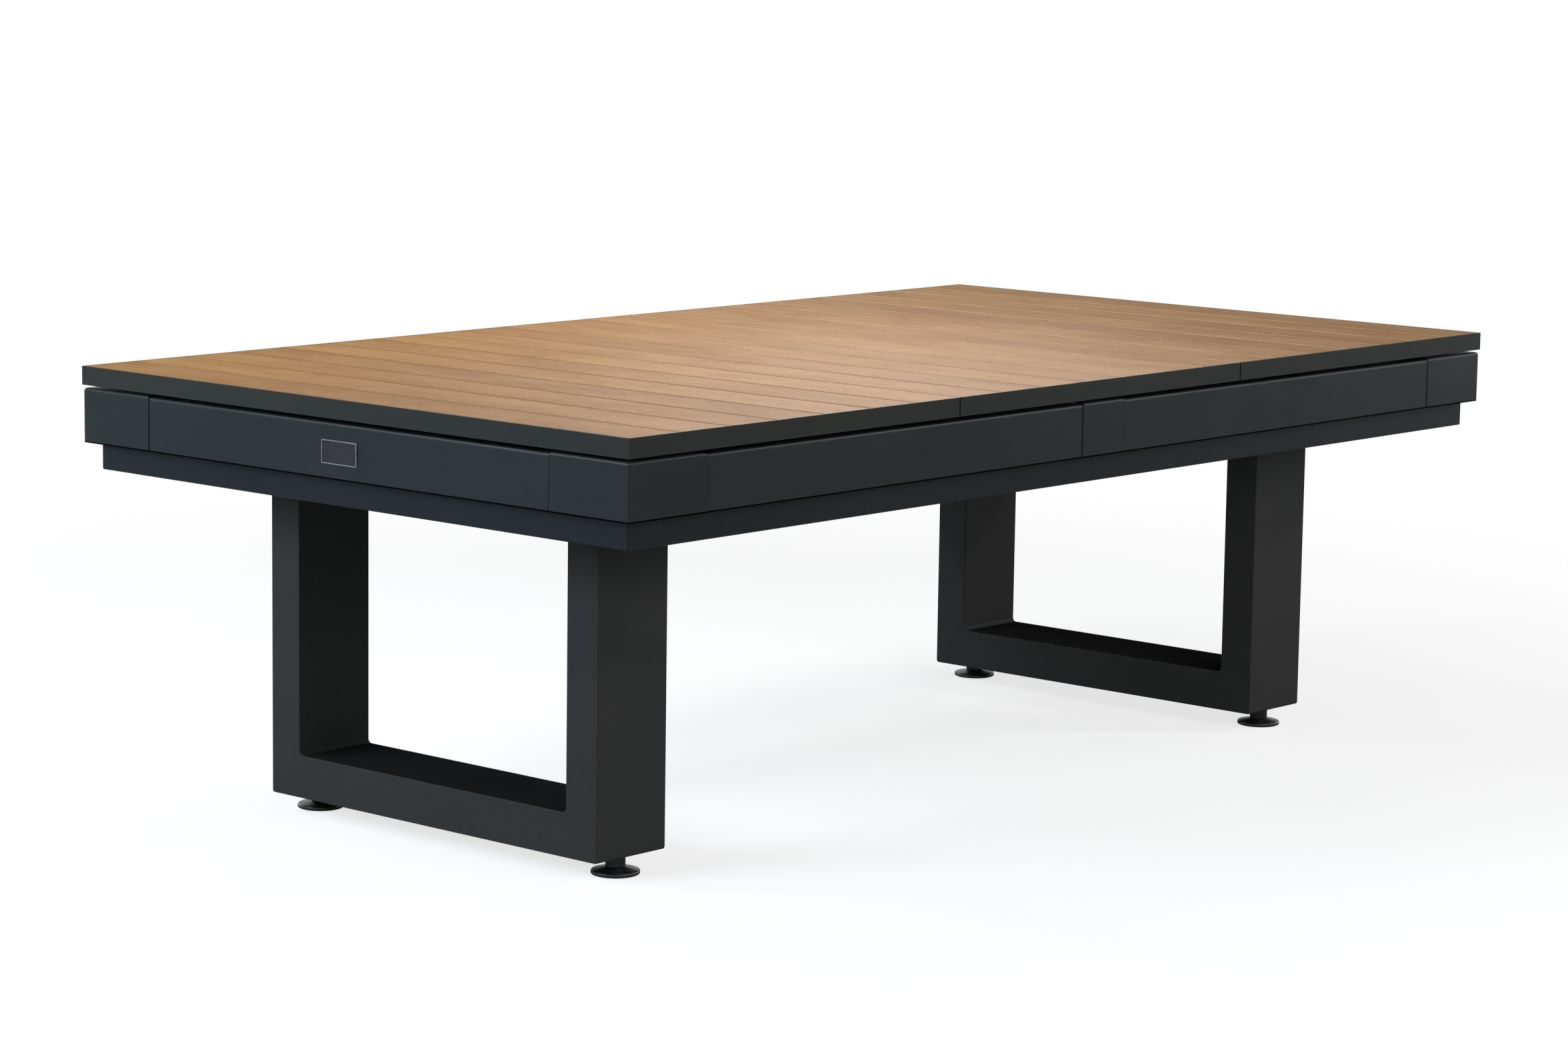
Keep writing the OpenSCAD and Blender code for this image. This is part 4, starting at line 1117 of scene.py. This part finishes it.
# %% Bed cloth
POCKET_CLEAR, CLOTH_SOFT = CUP_FLANGE + 1.5 * MM, 0.3 * MM
low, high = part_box("bed_cloth")
cloth = block("cloth", low, high)
cutters = []
for x, y, _ in QUARTERS.values():
    centre = Vector((x * CORNER_POCKET.x, y * CORNER_POCKET.y))
    reach = centre + Vector((x, y)) * SLATE_SIDE
    cutters.append(rod("corner_opening", centre, CORNER_R + POCKET_CLEAR, low.z - PAST,
                       high.z + PAST))
    cutters.append(block(
        "corner_square", (min(centre.x, reach.x), min(centre.y, reach.y), low.z - PAST),
        (max(centre.x, reach.x), max(centre.y, reach.y), high.z + PAST)))
for y in (-SIDE_POCKET.y, SIDE_POCKET.y):
    opening = SIDE_R + POCKET_CLEAR
    cutters.append(rod("side_opening", (0, y), opening, low.z - PAST, high.z + PAST))
    reach = y + math.copysign(SLATE_SIDE, y)
    cutters.append(block("side_square", (-opening, min(y, reach), low.z - PAST),
                         (opening, max(y, reach), high.z + PAST)))
carve(cloth, *cutters)
soften(cloth, CLOTH_SOFT, 2)
smooth(cloth)
fit(cloth, bed_felt, "bed_cloth", "table", "bed_cloth")

# %% [markdown]
# ## Cushions
# A cushion is a rubber profile wrapped in the same cloth: a flat back against the rail, a top that
# falls a little to the nose, and an underside cut back so that a ball meets the nose alone. Its
# section is drawn once, pulled out along the rail, and cut off at the slant of each pocket's
# mouth.

# %% Cushions
NOSE_R, BALL, NOSE_SHARE, CUSHION_LIFT, CUSHION_FOOT = 3 * MM, 57.15 * MM, 0.635, 9 * MM, 20 * MM
CORNER_MOUTH, SIDE_MOUTH = 85 * MM, 65 * MM
CORNER_SLANT, SIDE_SLANT = math.radians(52), math.radians(14)
NOSE_ARC = range(255, 104, -25)  # degrees round the nose
CUSHION_SOFT = 1.3 * MM
nose_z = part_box("bed_cloth")[1].z + NOSE_SHARE * BALL
back_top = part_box("cushion_right")[1].z


def cushion(name, start, stop, start_slant, stop_slant):
    """A cushion along X with its nose line on the X axis."""
    arc = [math.radians(a) for a in NOSE_ARC]
    section = [(CUSHION_DEPTH - CUSHION_FOOT, SLATE_TOP + CUSHION_LIFT)]
    section += [(NOSE_R + NOSE_R * math.cos(a), nose_z + NOSE_R * math.sin(a)) for a in arc]
    section += [(CUSHION_DEPTH, back_top), (CUSHION_DEPTH, SLATE_TOP + CUSHION_LIFT)]
    fresh()
    bpy.ops.mesh.primitive_circle_add(vertices=len(section), radius=MM, fill_type="NGON")
    made = named(name)
    first = start - CUSHION_DEPTH * math.tan(start_slant) - PAST
    last = stop + CUSHION_DEPTH * math.tan(stop_slant) + PAST
    for point, (out, level) in zip(made.data.vertices, section):
        point.co = (first, out, level)
    edit(made)
    pull(last - first, 0, 0)
    for at, slant, way in ((start, start_slant, -1), (stop, stop_slant, 1)):
        across = Vector((way * math.cos(slant), -math.sin(slant), 0))
        slice_at(made, (at, 0, 0), across, clear_outer=True, use_fill=True)
    bpy.ops.mesh.select_all(action="SELECT")
    bpy.ops.mesh.normals_make_consistent(inside=False)
    soften(made, CUSHION_SOFT, 3)
    return made


side_cushion = cushion("side_cushion", SIDE_MOUTH, NOSE_X - CORNER_MOUTH, SIDE_SLANT, CORNER_SLANT)
half = NOSE_Y - CORNER_MOUTH
end_cushion = cushion("end_cushion", -half, half, CORNER_SLANT, CORNER_SLANT)
turned(side_cushion, 0, (0, NOSE_Y, 0))
turned(end_cushion, -90, (NOSE_X, 0, 0))
set_down(side_cushion, QUARTERS, "*_cushion", cushion_felt, "cushion", "cushion_*")
set_down(end_cushion, ENDS, "*_end_cushion", cushion_felt, "cushion", "cushion_*")

# %% [markdown]
# ## Nameplate
# A small cast plate sits on the end rail: a dark field inside a narrow bright border, left bare.
# The box's face is inset by the border's width and pushed in.

# %% Nameplate
BORDER, FIELD, NAME_ROUND, NAME_SOFT = 1.5 * MM, 0.6 * MM, 1.5 * MM, 0.25 * MM
FACING_OUT = -0.5  # a normal's share along X
low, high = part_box("nameplate")
plate = block("bare_nameplate", low, high)
round_edges(plate, lambda edge: not lies(edge, x=low.x) and not lies(edge, x=high.x), NAME_ROUND, 4)
pick(plate, lambda face: lies(face, x=low.x))
bpy.ops.mesh.inset(thickness=BORDER)
pull(FIELD, 0, 0)
soften(plate, NAME_SOFT, 3)
smooth(plate)
fit(plate, plate_border, "nameplate", "table", "nameplate")
middle, half = (low + high) / 2, (high - low) / 2 - Vector((0, BORDER, BORDER))
recoat(plate, plate_field, lambda face: (
    abs(face.center.y) < half.y and abs(face.center.z - middle.z) < half.z
    and low.x + FIELD / 2 < face.center.x < high.x - TINY and face.normal.x < FACING_OUT))

# %% [markdown]
# ## Buffers
# Small rubber buffers under the side bars carry each panel on the rails, and leave the shadow gap.

# %% Buffers
BUFFER_R, BUFFER_STEPS = 10 * MM, 32
for third in THIRDS:
    low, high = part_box(f"panel_buffers_{third}")
    outline = [(0, low.z), *around(BUFFER_R, low.z, (-3, 0), (-1.1, 0.9), (-0.2, 2.8)),
               (BUFFER_R, high.z), (0, high.z)]
    spots = [(x, y) for x in (low.x + BUFFER_R, high.x - BUFFER_R)
             for y in (low.y + BUFFER_R, high.y - BUFFER_R)]
    made = join(f"{third}_buffers", [lathe("buffer", spot, outline, BUFFER_STEPS)
                                     for spot in spots])
    smooth(made)
    fit(made, rubber_black, "buffer_rubber", f"panel_{third}", f"panel_buffers_{third}")

# %% [markdown]
# ## Chassis and hardware
# The slates, beams, bolts, screws and sights have the right shape in the CAD model, so they stay.
# Each takes its finish, and modifiers that merge its loose triangles, join them into whole faces
# and round its edges, so that the beams and bolt heads catch a line of light as real ones do.

# %% Finish the CAD pieces that stay
FLAT = math.radians(0.1)  # triangles that turn less than this become one face
KEPT = {
    "long_beams": (frame_coat, 1 * MM),
    "cross_members": (frame_coat, 1 * MM),
    "leg_bolts": (zinc, 0.5 * MM),
    "rail_bolts": (zinc, 0.5 * MM),
    "slate_screws": (zinc, 0.15 * MM),
    "rail_sights": (pearl, 0.25 * MM),
    "slate_left": (slate_grey, 0.6 * MM),
    "slate_centre": (slate_grey, 0.6 * MM),
    "slate_right": (slate_grey, 0.6 * MM),
}
for name, (finish, edge) in KEPT.items():
    piece = NODES[name]
    piece.data.materials.clear()
    piece.data.materials.append(finish)
    weld = piece.modifiers.new("merge", "WELD")
    weld.merge_threshold = TINY
    flats = piece.modifiers.new("flats", "DECIMATE")
    flats.decimate_type, flats.angle_limit = "DISSOLVE", FLAT
    bevel = piece.modifiers.new("edge", "BEVEL")
    bevel.width, bevel.segments = edge, 2
    bevel.limit_method, bevel.angle_limit = "ANGLE", SHARP
    normals = piece.modifiers.new("normals", "WEIGHTED_NORMAL")
    normals.keep_sharp = True
    take(piece)
    print(name, "keeps its shape, edges of", round(edge / MM, 2), "mm")
fresh()

# %% [markdown]
# ## View
# The render uses the Standard view transform.

# %% Finish
bpy.context.scene.view_settings.view_transform = "Standard"
